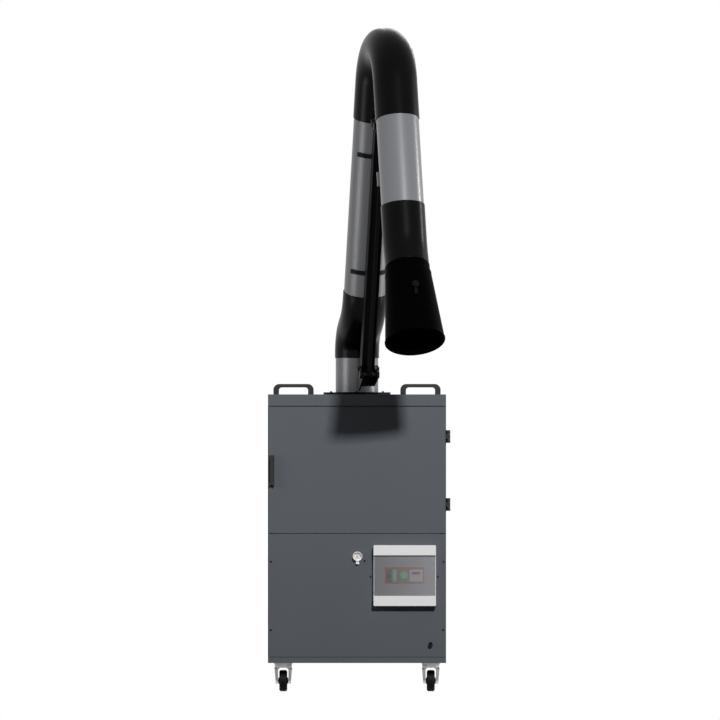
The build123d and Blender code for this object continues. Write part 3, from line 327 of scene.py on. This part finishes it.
# %% The settled dust group
DUST_DETAIL = 6
dust_group, dust_in, dust_out = new_group(
    "settled_dust", {"Amount": 0.2, "Grain": 60.0}, ["Mask"]
)
facing = dust_group.nodes.new("ShaderNodeNewGeometry")
split = dust_group.nodes.new("ShaderNodeSeparateXYZ")
dust_group.links.new(facing.outputs["Normal"], split.inputs[0])
upward = math_node(dust_group, "MAXIMUM", split.outputs["Z"], 0.0)
specks = noise_on_surface(dust_group, dust_in.outputs["Grain"], DUST_DETAIL)
broken = math_node(dust_group, "MULTIPLY", upward, specks)
film = math_node(dust_group, "MULTIPLY", broken, dust_in.outputs["Amount"])
dust_group.links.new(film, dust_out.inputs["Mask"])
print("group", dust_group.name)

# %% [markdown]
# Rolled and brushed sheet carries fine parallel lines. A noise that is stretched a lot in one
# direction looks just like that. Here the lines run along X, across the front of the machine.

# %% The drawn lines group
lines_group, lines_in, lines_out = new_group(
    "drawn_lines", {"Across": 700.0, "Along": 12.0}, ["Height"]
)
place = lines_group.nodes.new("ShaderNodeTexCoord")
stretch = lines_group.nodes.new("ShaderNodeVectorMath")
stretch.operation = "MULTIPLY"
pack = lines_group.nodes.new("ShaderNodeCombineXYZ")
for axis, label in (("X", "Along"), ("Y", "Across"), ("Z", "Across")):
    lines_group.links.new(lines_in.outputs[label], pack.inputs[axis])
lines_group.links.new(place.outputs["Object"], stretch.inputs[0])
lines_group.links.new(pack.outputs[0], stretch.inputs[1])
streaks = lines_group.nodes.new("ShaderNodeTexNoise")
streaks.inputs["Scale"].default_value = 1.0
lines_group.links.new(stretch.outputs[0], streaks.inputs["Vector"])
lines_group.links.new(streaks.outputs["Fac"], lines_out.inputs["Height"])
print("group", lines_group.name)

# %% [markdown]
# Each finish is one material with its own Principled shader. A helper lays out what they have in
# common: a colour that drifts a little from patch to patch, a roughness that drifts with it, a bump
# from a shared group, and a film of dust. The numbers make the difference between paint, moulded
# plastic, zinc and rubber.

# %% One helper for all opaque finishes
DUST_COLOUR = (0.33, 0.32, 0.30, 1)
DUST_ROUGHENS = 0.2
COAT_ROUGHNESS = 0.12


def tint(colour, factor):
    """The colour made lighter or darker."""
    return tuple(min(1.0, channel * factor) for channel in colour)


def finish(name, colour, roughness, drift=0.08, metallic=0.0, skin=900.0, bump=0.05, dust=0.15,
           drawn=False, specular=0.5, coat=0.0):
    """An opaque material from the shared groups."""
    material = bpy.data.materials.new(name)
    material.use_nodes = True
    tree = material.node_tree
    shader = tree.nodes["Principled BSDF"]
    shader.inputs["Metallic"].default_value = metallic
    shader.inputs["Specular IOR Level"].default_value = specular
    shader.inputs["Coat Weight"].default_value = coat
    shader.inputs["Coat Roughness"].default_value = COAT_ROUGHNESS
    surface = group_node(tree, skin_group, Size=skin)
    patches = surface.outputs["Patches"]
    film = group_node(tree, dust_group, Amount=dust)
    dark, light = tint(colour, 1 - drift), tint(colour, 1 + drift)
    shades = mix_node(tree, patches, (*dark, 1), (*light, 1))
    dusty = mix_node(tree, film.outputs["Mask"], shades, DUST_COLOUR)
    tree.links.new(dusty, shader.inputs["Base Color"])
    roughest = min(1.0, roughness * (1 + drift) + dust * DUST_ROUGHENS)
    rough = range_node(tree, patches, (roughness * (1 - drift), roughest))
    tree.links.new(rough, shader.inputs["Roughness"])
    relief = tree.nodes.new("ShaderNodeBump")
    relief.inputs["Strength"].default_value = bump
    relief.inputs["Distance"].default_value = MM
    source = group_node(tree, lines_group) if drawn else surface
    tree.links.new(source.outputs["Height"], relief.inputs["Height"])
    tree.links.new(relief.outputs["Normal"], shader.inputs["Normal"])
    return material


print("finish helper ready")

# %% [markdown]
# The cabinet, its lid and the arm's tubes are powder coated in a dark grey: satin, with the
# faintest orange peel. The tubes are a shade lighter and glossier than the flat sheet, which is
# why they show a soft bright line along their length. Black parts of the arm are stove enamelled.

# %% Painted finishes
GREY = (0.093, 0.1, 0.113)
LID_GREY = (0.087, 0.093, 0.105)
TUBE_GREY = (0.125, 0.128, 0.141)
ENAMEL_BLACK = (0.004, 0.004, 0.0045)
NEEDLE_RED = (0.5, 0.02, 0.01)
finishes = {
    "cabinet_paint": finish("cabinet_powder_coat", GREY, 0.5, drift=0.05, specular=0.04),
    "lid_paint": finish("lid_powder_coat", LID_GREY, 0.5, drift=0.05, specular=0.08),
    "tube_paint": finish(
        "tube_powder_coat", TUBE_GREY, 0.34, drift=0.04, bump=0.03, specular=0.8
    ),
    "black_paint": finish(
        "black_stove_enamel", ENAMEL_BLACK, 0.4, drift=0.1, dust=0.01, specular=0.05
    ),
    "needle_red": finish("needle_paint", NEEDLE_RED, 0.4, dust=0.0),
}
print("painted:", sorted(finishes))

# %% [markdown]
# Zinc plating, cast aluminium and rolled sheet are metals: no colour of their own under the
# surface, only a tinted reflection. Cast metal gets a coarse skin, sheet gets drawn lines, and
# galvanised sheet gets strong patches, as its zinc sets in large crystals.

# %% Metal finishes
ZINC_SHEET = (0.38, 0.39, 0.4)
ZINC_PLATE = (0.36, 0.36, 0.365)
CAST_ALUMINIUM = (0.5, 0.5, 0.51)
ROLLED_ALUMINIUM = (0.62, 0.62, 0.63)
finishes.update({
    "galvanised": finish(
        "galvanised_sheet", ZINC_SHEET, 0.45, drift=0.18, metallic=1.0, bump=0.1
    ),
    "zinc_steel": finish(
        "zinc_plate", ZINC_PLATE, 0.42, drift=0.12, metallic=1.0, drawn=True, bump=0.15
    ),
    "aluminium_casting": finish(
        "cast_aluminium", CAST_ALUMINIUM, 0.5, metallic=1.0, skin=350.0, bump=0.3
    ),
    "aluminium_sheet": finish(
        "rolled_aluminium", ROLLED_ALUMINIUM, 0.35, metallic=1.0, drawn=True, bump=0.2
    ),
})
print("with metals:", len(finishes))

# %% [markdown]
# Handles, latch and knobs are black moulded plastic with a fine texture. The control box is a pale
# smooth moulding, its fascia and devices are grey ones, and the start button is a glossy green one,
# for which a clear coat over the colour is enough. The gauge's face is white lacquer.

# %% Plastic finishes
finishes.update({
    "black_plastic": finish(
        "textured_black_plastic", (0.009, 0.009, 0.0095), 0.5, skin=1600.0, bump=0.15, dust=0.03,
        specular=0.2,
    ),
    "box_plastic": finish(
        "pale_box_plastic", (0.68, 0.68, 0.685), 0.42, drift=0.03, skin=1500.0
    ),
    "fascia_plastic": finish(
        "grey_fascia_plastic", (0.14, 0.14, 0.147), 0.5, skin=1500.0, dust=0.0
    ),
    "module_plastic": finish(
        "pale_module_plastic", (0.23, 0.215, 0.215), 0.45, drift=0.04, dust=0.0
    ),
    "green_plastic": finish(
        "green_button_plastic", (0.05, 0.24, 0.11), 0.25, drift=0.05, dust=0.0, coat=0.4
    ),
    "dial_white": finish("white_dial_lacquer", (0.78, 0.78, 0.77), 0.35, drift=0.03, dust=0.0),
})
print("with plastics:", len(finishes))

# %% [markdown]
# Hood and hoses are near black and glossy: their colour is almost nothing, and what the eye sees
# is the long soft reflection of the lamps. A lighter colour with less gloss would look like matt
# rubber. Tyres and the door's foam seal are matt, and the filter is a thick pale fleece.

# %% Soft finishes
finishes.update({
    "seal_rubber": finish(
        "foam_seal", (0.016, 0.016, 0.016), 0.85, skin=500.0, bump=0.4, dust=0.05
    ),
    "tyre_rubber": finish(
        "castor_tyre_rubber", (0.0025, 0.0025, 0.0027), 0.5, skin=500.0, bump=0.2, dust=0.01,
        specular=0.08,
    ),
    "hose_rubber": finish(
        "coated_hose_cloth", (0.0007, 0.0006, 0.0006), 0.27, drift=0.15, skin=1200.0, bump=0.008,
        dust=0.001, specular=0.06,
    ),
    "hood_gloss": finish(
        "black_hood_gloss", (0.0004, 0.0004, 0.0004), 0.4, drift=0.1, bump=0.02, dust=0.001,
        specular=0.004,
    ),
    "filter_medium": finish(
        "filter_fleece", (0.6, 0.59, 0.55), 0.9, drift=0.1, skin=260.0, bump=0.5, dust=0.3
    ),
})
print("opaque finishes:", len(finishes))

# %% [markdown]
# The flap over the switches is smoked plastic: it lets a part of the light through. A clear plastic
# could be made with full transmission, but a mix of a dark sheet and plain see-through is steadier
# for a thin sheet and keeps its colour in every view. Its colour runs from dark at the left to pale
# at the right: a painted reflection laid over its smoke tint. The gauge has a thin clear glass, made
# in the same way.

# %% A helper for see-through finishes
HAZE_SIZE = 20.0
HAZE = 0.03


def see_through(name, colours, span, alpha, roughness):
    """A thin sheet with a faint haze; its colour runs from one to another over a span of X, as a
    painted reflection.
    """
    material = bpy.data.materials.new(name)
    material.use_nodes = True
    tree = material.node_tree
    shader = tree.nodes["Principled BSDF"]
    shader.inputs["Roughness"].default_value = roughness
    where = tree.nodes.new("ShaderNodeTexCoord")
    split = tree.nodes.new("ShaderNodeSeparateXYZ")
    tree.links.new(where.outputs["Object"], split.inputs[0])
    across = range_node(tree, split.outputs["X"], (0.0, 1.0), span)
    shade = mix_node(tree, across, (*colours[0], 1), (*colours[1], 1))
    tree.links.new(shade, shader.inputs["Base Color"])
    haze = group_node(tree, skin_group, Cloud=HAZE_SIZE)
    veil = range_node(tree, haze.outputs["Patches"], (alpha - HAZE, alpha + HAZE))
    tree.links.new(veil, shader.inputs["Alpha"])
    return material


print("haze of see-through sheet: plus and minus", HAZE)

# %% [markdown]
# The flap is smoked enough to hide the devices halfway. Its left side is painted darker than its
# right, as a painted reflection of the room behind the camera. The glass is almost not there: just
# enough white to tell that the dial is covered.

# %% See-through finishes
# painted reflection: the flap's colour runs from its smoke tint at the left to a pale sheen at the
# right, over this span of X
FLAP_PAINTED_REFLECTION_SPAN = (0.07, 0.29)
FLAP_SMOKE_AND_PAINTED_REFLECTION = ((0.2, 0.2, 0.22), (0.5, 0.51, 0.55))
GLASS_SPAN = (-0.02, 0.02)
GLASS_SHADES = ((0.8, 0.82, 0.82), (0.84, 0.86, 0.86))
finishes["smoked_plastic"] = see_through(
    "smoked_flap_with_painted_reflection", FLAP_SMOKE_AND_PAINTED_REFLECTION, FLAP_PAINTED_REFLECTION_SPAN, alpha=0.17, roughness=0.2
)
finishes["clear_glass"] = see_through(
    "thin_gauge_glass", GLASS_SHADES, GLASS_SPAN, alpha=0.12, roughness=0.05
)
print("all finishes:", len(finishes))

# %% [markdown]
# The CAD record says which slot each piece takes its finish from, so one loop dresses them all.
# A few pieces differ from the rest of their slot. The rear tube gets a lightened copy of the tube
# paint, a painted light, because the arm above shades it from the key lamp. The front one gets a
# darkened, glossier copy, a painted shade. The collar shines as the hood does. They get a finish of
# their own instead of a new slot.

# %% Dress the CAD pieces
BREAKER_DARK = (0.028, 0.014, 0.016)
KNOB_BLACK = (0.0015, 0.0015, 0.0016)
slot_of = {entry["node"]: entry["material_slot"] for entry in record["subparts"]}
own_finish = {
    # painted light: the rear tube's copy of the tube paint is lightened, because the arm above
    # shades it from the key lamp
    "lower_tube": finish(
        "lower_tube_coat_painted_light", tint(TUBE_GREY, 1.15), 0.36, drift=0.04, bump=0.03, specular=0.65
    ),
    # painted shade: the front tube's copy of the tube paint is darkened
    "upper_tube": finish(
        "upper_tube_coat_painted_shade", tint(TUBE_GREY, 0.75), 0.28, drift=0.04, bump=0.03, specular=0.8
    ),
    "hood_collar": finishes["hood_gloss"],
    "breaker_body": finish("dark_breaker_plastic", BREAKER_DARK, 0.5, skin=1600.0, dust=0.0),
    "damper_knob": finish("damper_knob_plastic", KNOB_BLACK, 0.35, dust=0.005, specular=0.05),
}
for name, piece in nodes.items():
    piece.data.materials.clear()
    piece.data.materials.append(own_finish.get(name, finishes[slot_of[name]]))
print("dressed", len(nodes), "pieces in", len(set(slot_of.values())), "slots")

# %% [markdown]
# Folded sheet never has a knife edge: its bends are rounded, and they show as thin bright lines.
# The bends could be in the CAD, but every rounded edge there costs many facets. A bevel modifier
# rounds the sharp edges of the CAD pieces here, without touching their mesh.

# %% Round the edges of sheet and mouldings
EDGE_ANGLE = radians(35)
EDGE_STEPS = 2
EDGE_WIDTHS = {
    "base_tray": 2.0, "lid": 2.0, "cabinet_shell": 1.2, "filter_door": 1.8, "lower_panel": 1.8,
    "control_box": 1.2, "carry_handles": 3.0, "latch_base": 0.8, "latch_lever": 1.5,
    "smoked_flap": 0.8, "hinge_door_leaves": 0.8, "hinge_cabinet_leaves": 0.8,
    "pivot_bracket": 1.0, "elbow_plate": 1.0, "swivel_flange": 0.8, "castor_forks_rear": 0.6,
    "castor_fork_front_left": 0.6, "castor_fork_front_right": 0.6, "damper_knob": 1.5,
    "lower_saddles": 0.6, "upper_saddle": 0.8,
}
for name, width in EDGE_WIDTHS.items():
    bevel = nodes[name].modifiers.new("rounded_edges", "BEVEL")
    bevel.width = width * MM
    bevel.segments = EDGE_STEPS
    bevel.limit_method = "ANGLE"
    bevel.angle_limit = EDGE_ANGLE
    bevel.harden_normals = False
print("rounded edges on", len(EDGE_WIDTHS), "pieces")

# %% [markdown]
# The whole arm lies in one upright plane, turned a little to the right of the front. A point of it
# is given by its reach in front of the swivel axis and its height, and turned into a place in space.
# That is much simpler than three coordinates for each point of a hose.

# %% Helpers for points in the arm's plane
ARM_YAW = radians(11.3)
ACROSS = Vector((cos(ARM_YAW), sin(ARM_YAW), 0))


def go(start, direction, distance):
    """A point at a distance from start."""
    return (start[0] + distance * direction[0], start[1] + distance * direction[1])


def way(start, stop):
    """The direction from start to stop, and how far that is."""
    reach, rise = stop[0] - start[0], stop[1] - start[1]
    length = (reach ** 2 + rise ** 2) ** 0.5
    return (reach / length, rise / length), length


def place_of(point):
    """A point of the arm's plane as a place in space, in metres."""
    return Vector((point[0] * sin(ARM_YAW), -point[0] * cos(ARM_YAW), point[1])) * MM


print("the arm's plane is turned", round(ARM_YAW, 3), "radians from the front")

# %% [markdown]
# The two tubes and the hood lean by three angles from the upright. With those, the length of each
# tube and one point of each, all ends of the hoses are known.

# %% The ends of duct, tubes and hood, in millimetres
LOWER_LEAN, UPPER_LEAN, HOOD_LEAN = radians(16.4), radians(17.2), radians(28.1)
LOWER_UP = (sin(LOWER_LEAN), cos(LOWER_LEAN))
UPPER_DOWN = (sin(UPPER_LEAN), -cos(UPPER_LEAN))
HOOD_DOWN = (sin(HOOD_LEAN), -cos(HOOD_LEAN))
LOWER_BARE, UPPER_BARE = 681.0, 341.0
FOOT_REACH, FOOT_RISE = 158.0, 384.0
HEAD_REACH, HEAD_RISE = 775.0, 1031.0
TUBE_TO_CORNER, CORNER_TO_NECK = 163.0, 50.0
DUCT_RISE, HOSE_RISE = 153.5, 136.5
LOWER_FOOT = (FOOT_REACH, DECK + FOOT_RISE)
LOWER_HEAD = go(LOWER_FOOT, LOWER_UP, LOWER_BARE)
UPPER_HEAD = (HEAD_REACH, DECK + HEAD_RISE)
UPPER_FOOT = go(UPPER_HEAD, UPPER_DOWN, UPPER_BARE)
HOSE_CORNER = go(UPPER_FOOT, UPPER_DOWN, TUBE_TO_CORNER)
NECK_TOP = go(HOSE_CORNER, HOOD_DOWN, CORNER_TO_NECK)
HOSE_FOOT = (0.0, DECK + HOSE_RISE)
print("lower tube from", LOWER_FOOT, "to", [round(v) for v in LOWER_HEAD])

# %% [markdown]
# The three hoses are coated cloth over a wire coil, pulled over the ends of the tubes. They bend
# when the arm moves, so the stiff CAD tubes give way to meshes here. A curve with a round bevel
# could make them too, but rings that are set one by one allow a wall, a bore and a coil. Each hose
# follows a line of straight runs and arcs, and this helper turns such a line into stations: a point
# and a direction every few millimetres.

# %% A line of straight runs and arcs
def straight_run(start, heading, run, spacing):
    """Stations along a straight run, without its end."""
    steps = max(1, round(run / spacing))
    return [(go(start, heading, run * i / steps), heading) for i in range(steps)]


def arc_run(start, heading, radius, turn, spacing):
    """Stations along an arc that turns by an angle, without its end."""
    side = 1 if turn > 0 else -1
    centre = go(start, (heading[1], -heading[0]), side * radius)
    steps = max(2, round(radius * abs(turn) / spacing))
    made = []
    for i in range(steps):
        spin = Matrix.Rotation(-turn * i / steps, 2)
        arm = spin @ Vector((start[0] - centre[0], start[1] - centre[1]))
        now = spin @ Vector(heading)
        made.append(((centre[0] + arm.x, centre[1] + arm.y), (now.x, now.y)))
    return made


def stations(points, radii, spacing):
    """Points and directions along a line whose corners are rounded, one every spacing."""
    out = []
    start = points[0]
    for before, corner, after, radius in zip(points, points[1:], points[2:], radii):
        heading, leaving = way(before, corner)[0], way(corner, after)[0]
        turn = Vector(heading).angle_signed(Vector(leaving))
        cut = radius * abs(sin(turn / 2) / cos(turn / 2))
        bend = go(corner, heading, -cut)
        out += straight_run(start, heading, way(start, bend)[1], spacing)
        out += arc_run(bend, heading, radius, turn, spacing)
        start = go(corner, leaving, cut)
    heading, run = way(start, points[-1])
    return out + straight_run(start, heading, run, spacing) + [(points[-1], heading)]


print("station helpers ready")

# %% [markdown]
# At each station stands a ring of points, one for the outside and one for the bore, and each ring
# is joined to the next. The coil shows as a very low ripple: high enough to break the reflection a
# little, low enough to keep the smooth outline. The shading takes the exact outward direction of
# each point, so that no seam shows where two hoses meet.

# %% Rings of points
RING_SPACING = 3.0
RING_POINTS = 72


def ring(mesh, shading, point, direction, radius, side):
    """A ring of points square to the hose's line; side is 1 on the outside, -1 in the bore."""
    centre = place_of(point)
    normal = place_of((direction[1], -direction[0])).normalized()
    made = []
    for k in range(RING_POINTS):
        angle = 2 * pi * k / RING_POINTS
        outward = cos(angle) * ACROSS + sin(angle) * normal
        made.append(mesh.verts.new(centre + radius * MM * outward))
        shading.append(side * outward)
    return made


def join_rings(mesh, first, second, smooth=True):
    """Faces between two rings."""
    for k in range(RING_POINTS):
        n = (k + 1) % RING_POINTS
        mesh.faces.new((first[k], first[n], second[n], second[k])).smooth = smooth


print(RING_POINTS, "points in a ring, a ring every", RING_SPACING, "mm")

# %% [markdown]
# A hose is two sets of rings, its outside and its bore, joined along their length and closed at
# both ends, so that it has a real wall. Hoses, trim and the dial's ticks all end in the same way:
# the mesh becomes an object, gets its material and enters the scene. One helper does that for all.

# %% A hose from its stations
HOSE_INNER = 80.3
HOSE_OUTER = 83.0
RIPPLE = 0.08
COIL_PITCH = 12.0


def new_piece(name, mesh, material):
    """An object from a finished mesh, with its material, in the scene."""
    data = bpy.data.meshes.new(name)
    mesh.to_mesh(data)
    mesh.free()
    data.materials.append(material)
    piece = bpy.data.objects.new(name, data)
    bpy.context.scene.collection.objects.link(piece)
    return piece


def hose_piece(name, line, replaced, count_from=0):
    """A closed tube with a rippled outside and a plain bore; count_from keeps the coil in step."""
    mesh = bmesh.new()
    outside, inside, shading = [], [], []
    for number, (point, direction) in enumerate(line, count_from):
        phase = 2 * pi * number * RING_SPACING / COIL_PITCH
        outer = HOSE_OUTER - RIPPLE * (0.5 - 0.5 * cos(phase))
        outside.append(ring(mesh, shading, point, direction, outer, 1))
        inside.append(ring(mesh, shading, point, direction, HOSE_INNER, -1))
    for rings in (outside, inside):
        for first, second in zip(rings, rings[1:]):
            join_rings(mesh, first, second)
    for end in (0, -1):
        join_rings(mesh, outside[end], inside[end], smooth=False)
    bmesh.ops.recalc_face_normals(mesh, faces=mesh.faces)
    piece = new_piece(name, mesh, finishes["hose_rubber"])
    piece.data.normals_split_custom_set_from_vertices(shading)
    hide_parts(replaced)
    print(name, "rings:", len(line), "faces:", len(piece.data.polygons))
    return piece


print("wall of a hose:", round(HOSE_OUTER - HOSE_INNER, 2), "mm")

# %% [markdown]
# The low hose stands on the swivel duct, leans forward and then follows the lower tube, so it makes
# a short S.

# %% The low hose, from the swivel duct to the lower tube
FOOT_RUN, FOOT_LEAD = 80.5, 85.0
LOW_HOSE_BENDS = (115.0, 180.0)
foot_corner = go(HOSE_FOOT, (0, 1), FOOT_RUN)
tube_corner = go(LOWER_FOOT, LOWER_UP, -FOOT_LEAD)
base_line = stations(
    [HOSE_FOOT, foot_corner, tube_corner, LOWER_FOOT], LOW_HOSE_BENDS, RING_SPACING
)
low_hose = hose_piece("low_hose", base_line, "base_hose")
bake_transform(low_hose)

# %% [markdown]
# The top hose is the great bow at the top. It crosses two joints, one at each end of the elbow
# plates. A mesh can bend between two bodies only, so it is made as two halves that meet at the
# crown.

# %% The top hose in two halves
TOP_RADIUS = 178.0
reach, rise = UPPER_HEAD[0] - LOWER_HEAD[0], UPPER_HEAD[1] - LOWER_HEAD[1]
to_apex = (rise * UPPER_DOWN[0] - reach * UPPER_DOWN[1]) / sin(LOWER_LEAN + UPPER_LEAN)
APEX = go(LOWER_HEAD, LOWER_UP, to_apex)
top_line = stations([LOWER_HEAD, APEX, UPPER_HEAD], (TOP_RADIUS,), RING_SPACING)
crown = max(range(len(top_line)), key=lambda number: top_line[number][0][1])
rear_half = hose_piece("top_hose_rear", top_line[:crown + 1], "top_hose")
front_half = hose_piece("top_hose_front", top_line[crown:], "top_hose", crown)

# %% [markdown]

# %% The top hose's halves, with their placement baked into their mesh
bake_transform(rear_half)
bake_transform(front_half)

# %% [markdown]
# The hood hose joins the upper tube to the collar of the hood. It is nearly straight at rest. Its
# end reaches a little down the collar, as a clamped hose does.

# %% The hood hose, from the upper tube to the collar of the hood
HOOD_HOSE_BENDS = (400.0,)
ON_COLLAR = 30.0
collar_end = go(NECK_TOP, HOOD_DOWN, ON_COLLAR)
hood_line = stations([UPPER_FOOT, HOSE_CORNER, collar_end], HOOD_HOSE_BENDS, RING_SPACING)
neck_hose = hose_piece("neck_hose", hood_line, "hood_hose")
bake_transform(neck_hose)

# %% [markdown]
# Behind the flap lies a window in the fascia, with the devices in it. All its trim is thin and
# flat. A plain cube would have knife edges, so a helper makes a pad with rounded edges.

# %% A helper for thin pads on the cabinet's front
PAD_STEPS = 2


def pad(name, low, high, material, edge=0.3):
    """A thin box between two corners in millimetres, with rounded edges, that rides the cabinet."""
    mesh = bmesh.new()
    bmesh.ops.create_cube(mesh, size=1.0)
    size = [(h - l) * MM for l, h in zip(low, high)]
    middle = [(h + l) / 2 * MM for l, h in zip(low, high)]
    bmesh.ops.scale(mesh, vec=size, verts=mesh.verts)
    bmesh.ops.translate(mesh, vec=middle, verts=mesh.verts)
    bmesh.ops.bevel(
        mesh, geom=mesh.edges[:], offset=edge * MM, segments=PAD_STEPS, affect="EDGES"
    )
    piece = new_piece(name, mesh, material)
    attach(piece, "cabinet")
    return piece


print("pad helper ready")

# %% [markdown]
# On the real box a warm brown rim shows round the devices, through the smoke of the flap. It is a
# narrow moulding that stands a little proud of the fascia. Four pads make its sides.

# %% The warm rim of the window
WINDOW = ((104.6, 403.5), (252.6, 464.5))
RIM_WIDTH = 2.4
RIM_RISE = 0.8
TRIM_EDGE = 0.2
fascia_low, fascia_high = corners("control_fascia")
fascia_front, fascia_back = fascia_low[1], fascia_high[1]
warm = finish("warm_brown_rim", (0.34, 0.14, 0.06), 0.6, dust=0.0)
(left, below), (right, above) = WINDOW
RIM = {
    "window_rim_low": (left - RIM_WIDTH, below - RIM_WIDTH, right + RIM_WIDTH, below),
    "window_rim_high": (left - RIM_WIDTH, above, right + RIM_WIDTH, above + RIM_WIDTH),
    "window_rim_left": (left - RIM_WIDTH, below, left, above),
    "window_rim_right": (right, below, right + RIM_WIDTH, above),
}
for name, (x0, z0, x1, z1) in RIM.items():
    rim_low, rim_high = (x0, fascia_front - RIM_RISE, z0), (x1, fascia_front, z1)
    pad(name, rim_low, rim_high, warm, edge=TRIM_EDGE)
print("window", round(right - left, 1), "by", round(above - below, 1), "mm")

# %% [markdown]
# Between the devices the eye sees a dark brown plate. It lies just behind the fascia and is a
# little smaller than the window, so it touches none of its edges.

# %% The plate behind the devices
PLATE_GAP = 0.5
PLATE_THICKNESS = 0.8
warm_dark = finish("warm_brown_plate", (0.11, 0.068, 0.042), 0.7, dust=0.0)
plate_front = fascia_back + PLATE_GAP
plate_low = (left + PLATE_GAP, plate_front, below + PLATE_GAP)
plate_high = (right - PLATE_GAP, plate_front + PLATE_THICKNESS, above - PLATE_GAP)
pad("window_plate", plate_low, plate_high, warm_dark, edge=TRIM_EDGE)
print("plate", round(plate_front - fascia_front, 1), "mm behind the fascia's front")

# %% [markdown]
# The counter has a small display that is dark at its left and deep red at its right. Two pads on
# the face of the device, with a fine line between them, are enough at this size.

# %% The counter's small display
DISPLAY_LEVELS = (438.0, 448.0)
DISPLAY_RISE = 0.5
DISPLAY_HALVES = {
    "counter_display_dark": ((206.0, 220.5), finish(
        "display_glass", (0.012, 0.013, 0.016), 0.15, dust=0.0
    )),
    "counter_display_red": ((220.9, 235.5), finish(
        "display_red", (0.13, 0.012, 0.018), 0.2, dust=0.0
    )),
}
device_front = corners("device_modules")[0][1]
for name, ((x0, x1), material) in DISPLAY_HALVES.items():
    display_low = (x0, device_front - DISPLAY_RISE, DISPLAY_LEVELS[0])
    display_high = (x1, device_front, DISPLAY_LEVELS[1])
    pad(name, display_low, display_high, material)
print("display pads on the face at", device_front, "mm")

# %% [markdown]
# The lamp module between breaker and button is green, the button's holder is brown, and the
# counter beside it is pale grey. All three belong to one CAD piece. It could be cut into pieces,
# but its material can also look at the place across the box: it starts with the grey, lays the
# brown over everything left of one line and the green over everything left of another.

# %% Green, brown and grey in one material
ZONES = (
    (0.197, (0.115, 0.07, 0.042, 1)),
    (0.157, (0.12, 0.21, 0.16, 1)),
)
modules = finishes["module_plastic"].node_tree
shader = modules.nodes["Principled BSDF"]
where = modules.nodes.new("ShaderNodeTexCoord")
across = modules.nodes.new("ShaderNodeSeparateXYZ")
modules.links.new(where.outputs["Object"], across.inputs[0])
paint = shader.inputs["Base Color"].links[0].from_socket
for limit, colour in ZONES:
    left_of = math_node(modules, "LESS_THAN", across.outputs["X"], limit)
    paint = mix_node(modules, left_of, paint, colour)
modules.links.new(paint, shader.inputs["Base Color"])
print("lines between the colours at x =", [limit for limit, _ in ZONES], "m")

# %% [markdown]
# A pressure gauge needs its scale to be read: short dark ticks on a white face, longer at the ends
# and in the middle. A picture of a dial would do, but ticks as thin bars stay sharp from near by
# and need no image file. They lie on the dial, half sunk into it, under the glass.

# %% Ticks on the dial
TICKS, LONG_EVERY = 11, 5
TICK_FROM, TICK_SWEEP = 225, 270
LONG_TICK, SHORT_TICK = 3.6, 2.4
TICK_WIDTH, TICK_DEPTH = 0.9, 0.3
SCALE_RADIUS = 13.6
CASE_BACK_WALL = 2.0
glass_low, glass_high = corners("gauge_glass")
dial_front = corners("gauge_case")[1][1] - CASE_BACK_WALL
dial = Vector((
    (glass_low[0] + glass_high[0]) / 2, dial_front, (glass_low[2] + glass_high[2]) / 2
))
mesh = bmesh.new()
for number in range(TICKS):
    angle = radians(TICK_FROM - TICK_SWEEP * number / (TICKS - 1))
    length = SHORT_TICK if number % LONG_EVERY else LONG_TICK
    outward = Vector((cos(angle), 0, sin(angle)))
    sideways = Vector((-sin(angle), 0, cos(angle)))
    middle = dial + outward * (SCALE_RADIUS - length / 2)
    tick = bmesh.ops.create_cube(mesh, size=1.0)["verts"]
    turn = Matrix((outward, (0, 1, 0), sideways)).transposed().to_4x4()
    grow = Matrix.Diagonal((length, TICK_DEPTH, TICK_WIDTH, 1.0))
    bmesh.ops.transform(mesh, matrix=Matrix.Translation(middle) @ turn @ grow, verts=tick)
bmesh.ops.scale(mesh, vec=(MM, MM, MM), verts=mesh.verts)
ink = finish("dial_ink", (0.03, 0.03, 0.032), 0.6, dust=0.0)
ticks = new_piece("gauge_ticks", mesh, ink)
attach(ticks, "cabinet")
print("dial ticks:", TICKS, "round", [round(v, 1) for v in dial])

# %% [markdown]

# %% Finish
print("scene built")
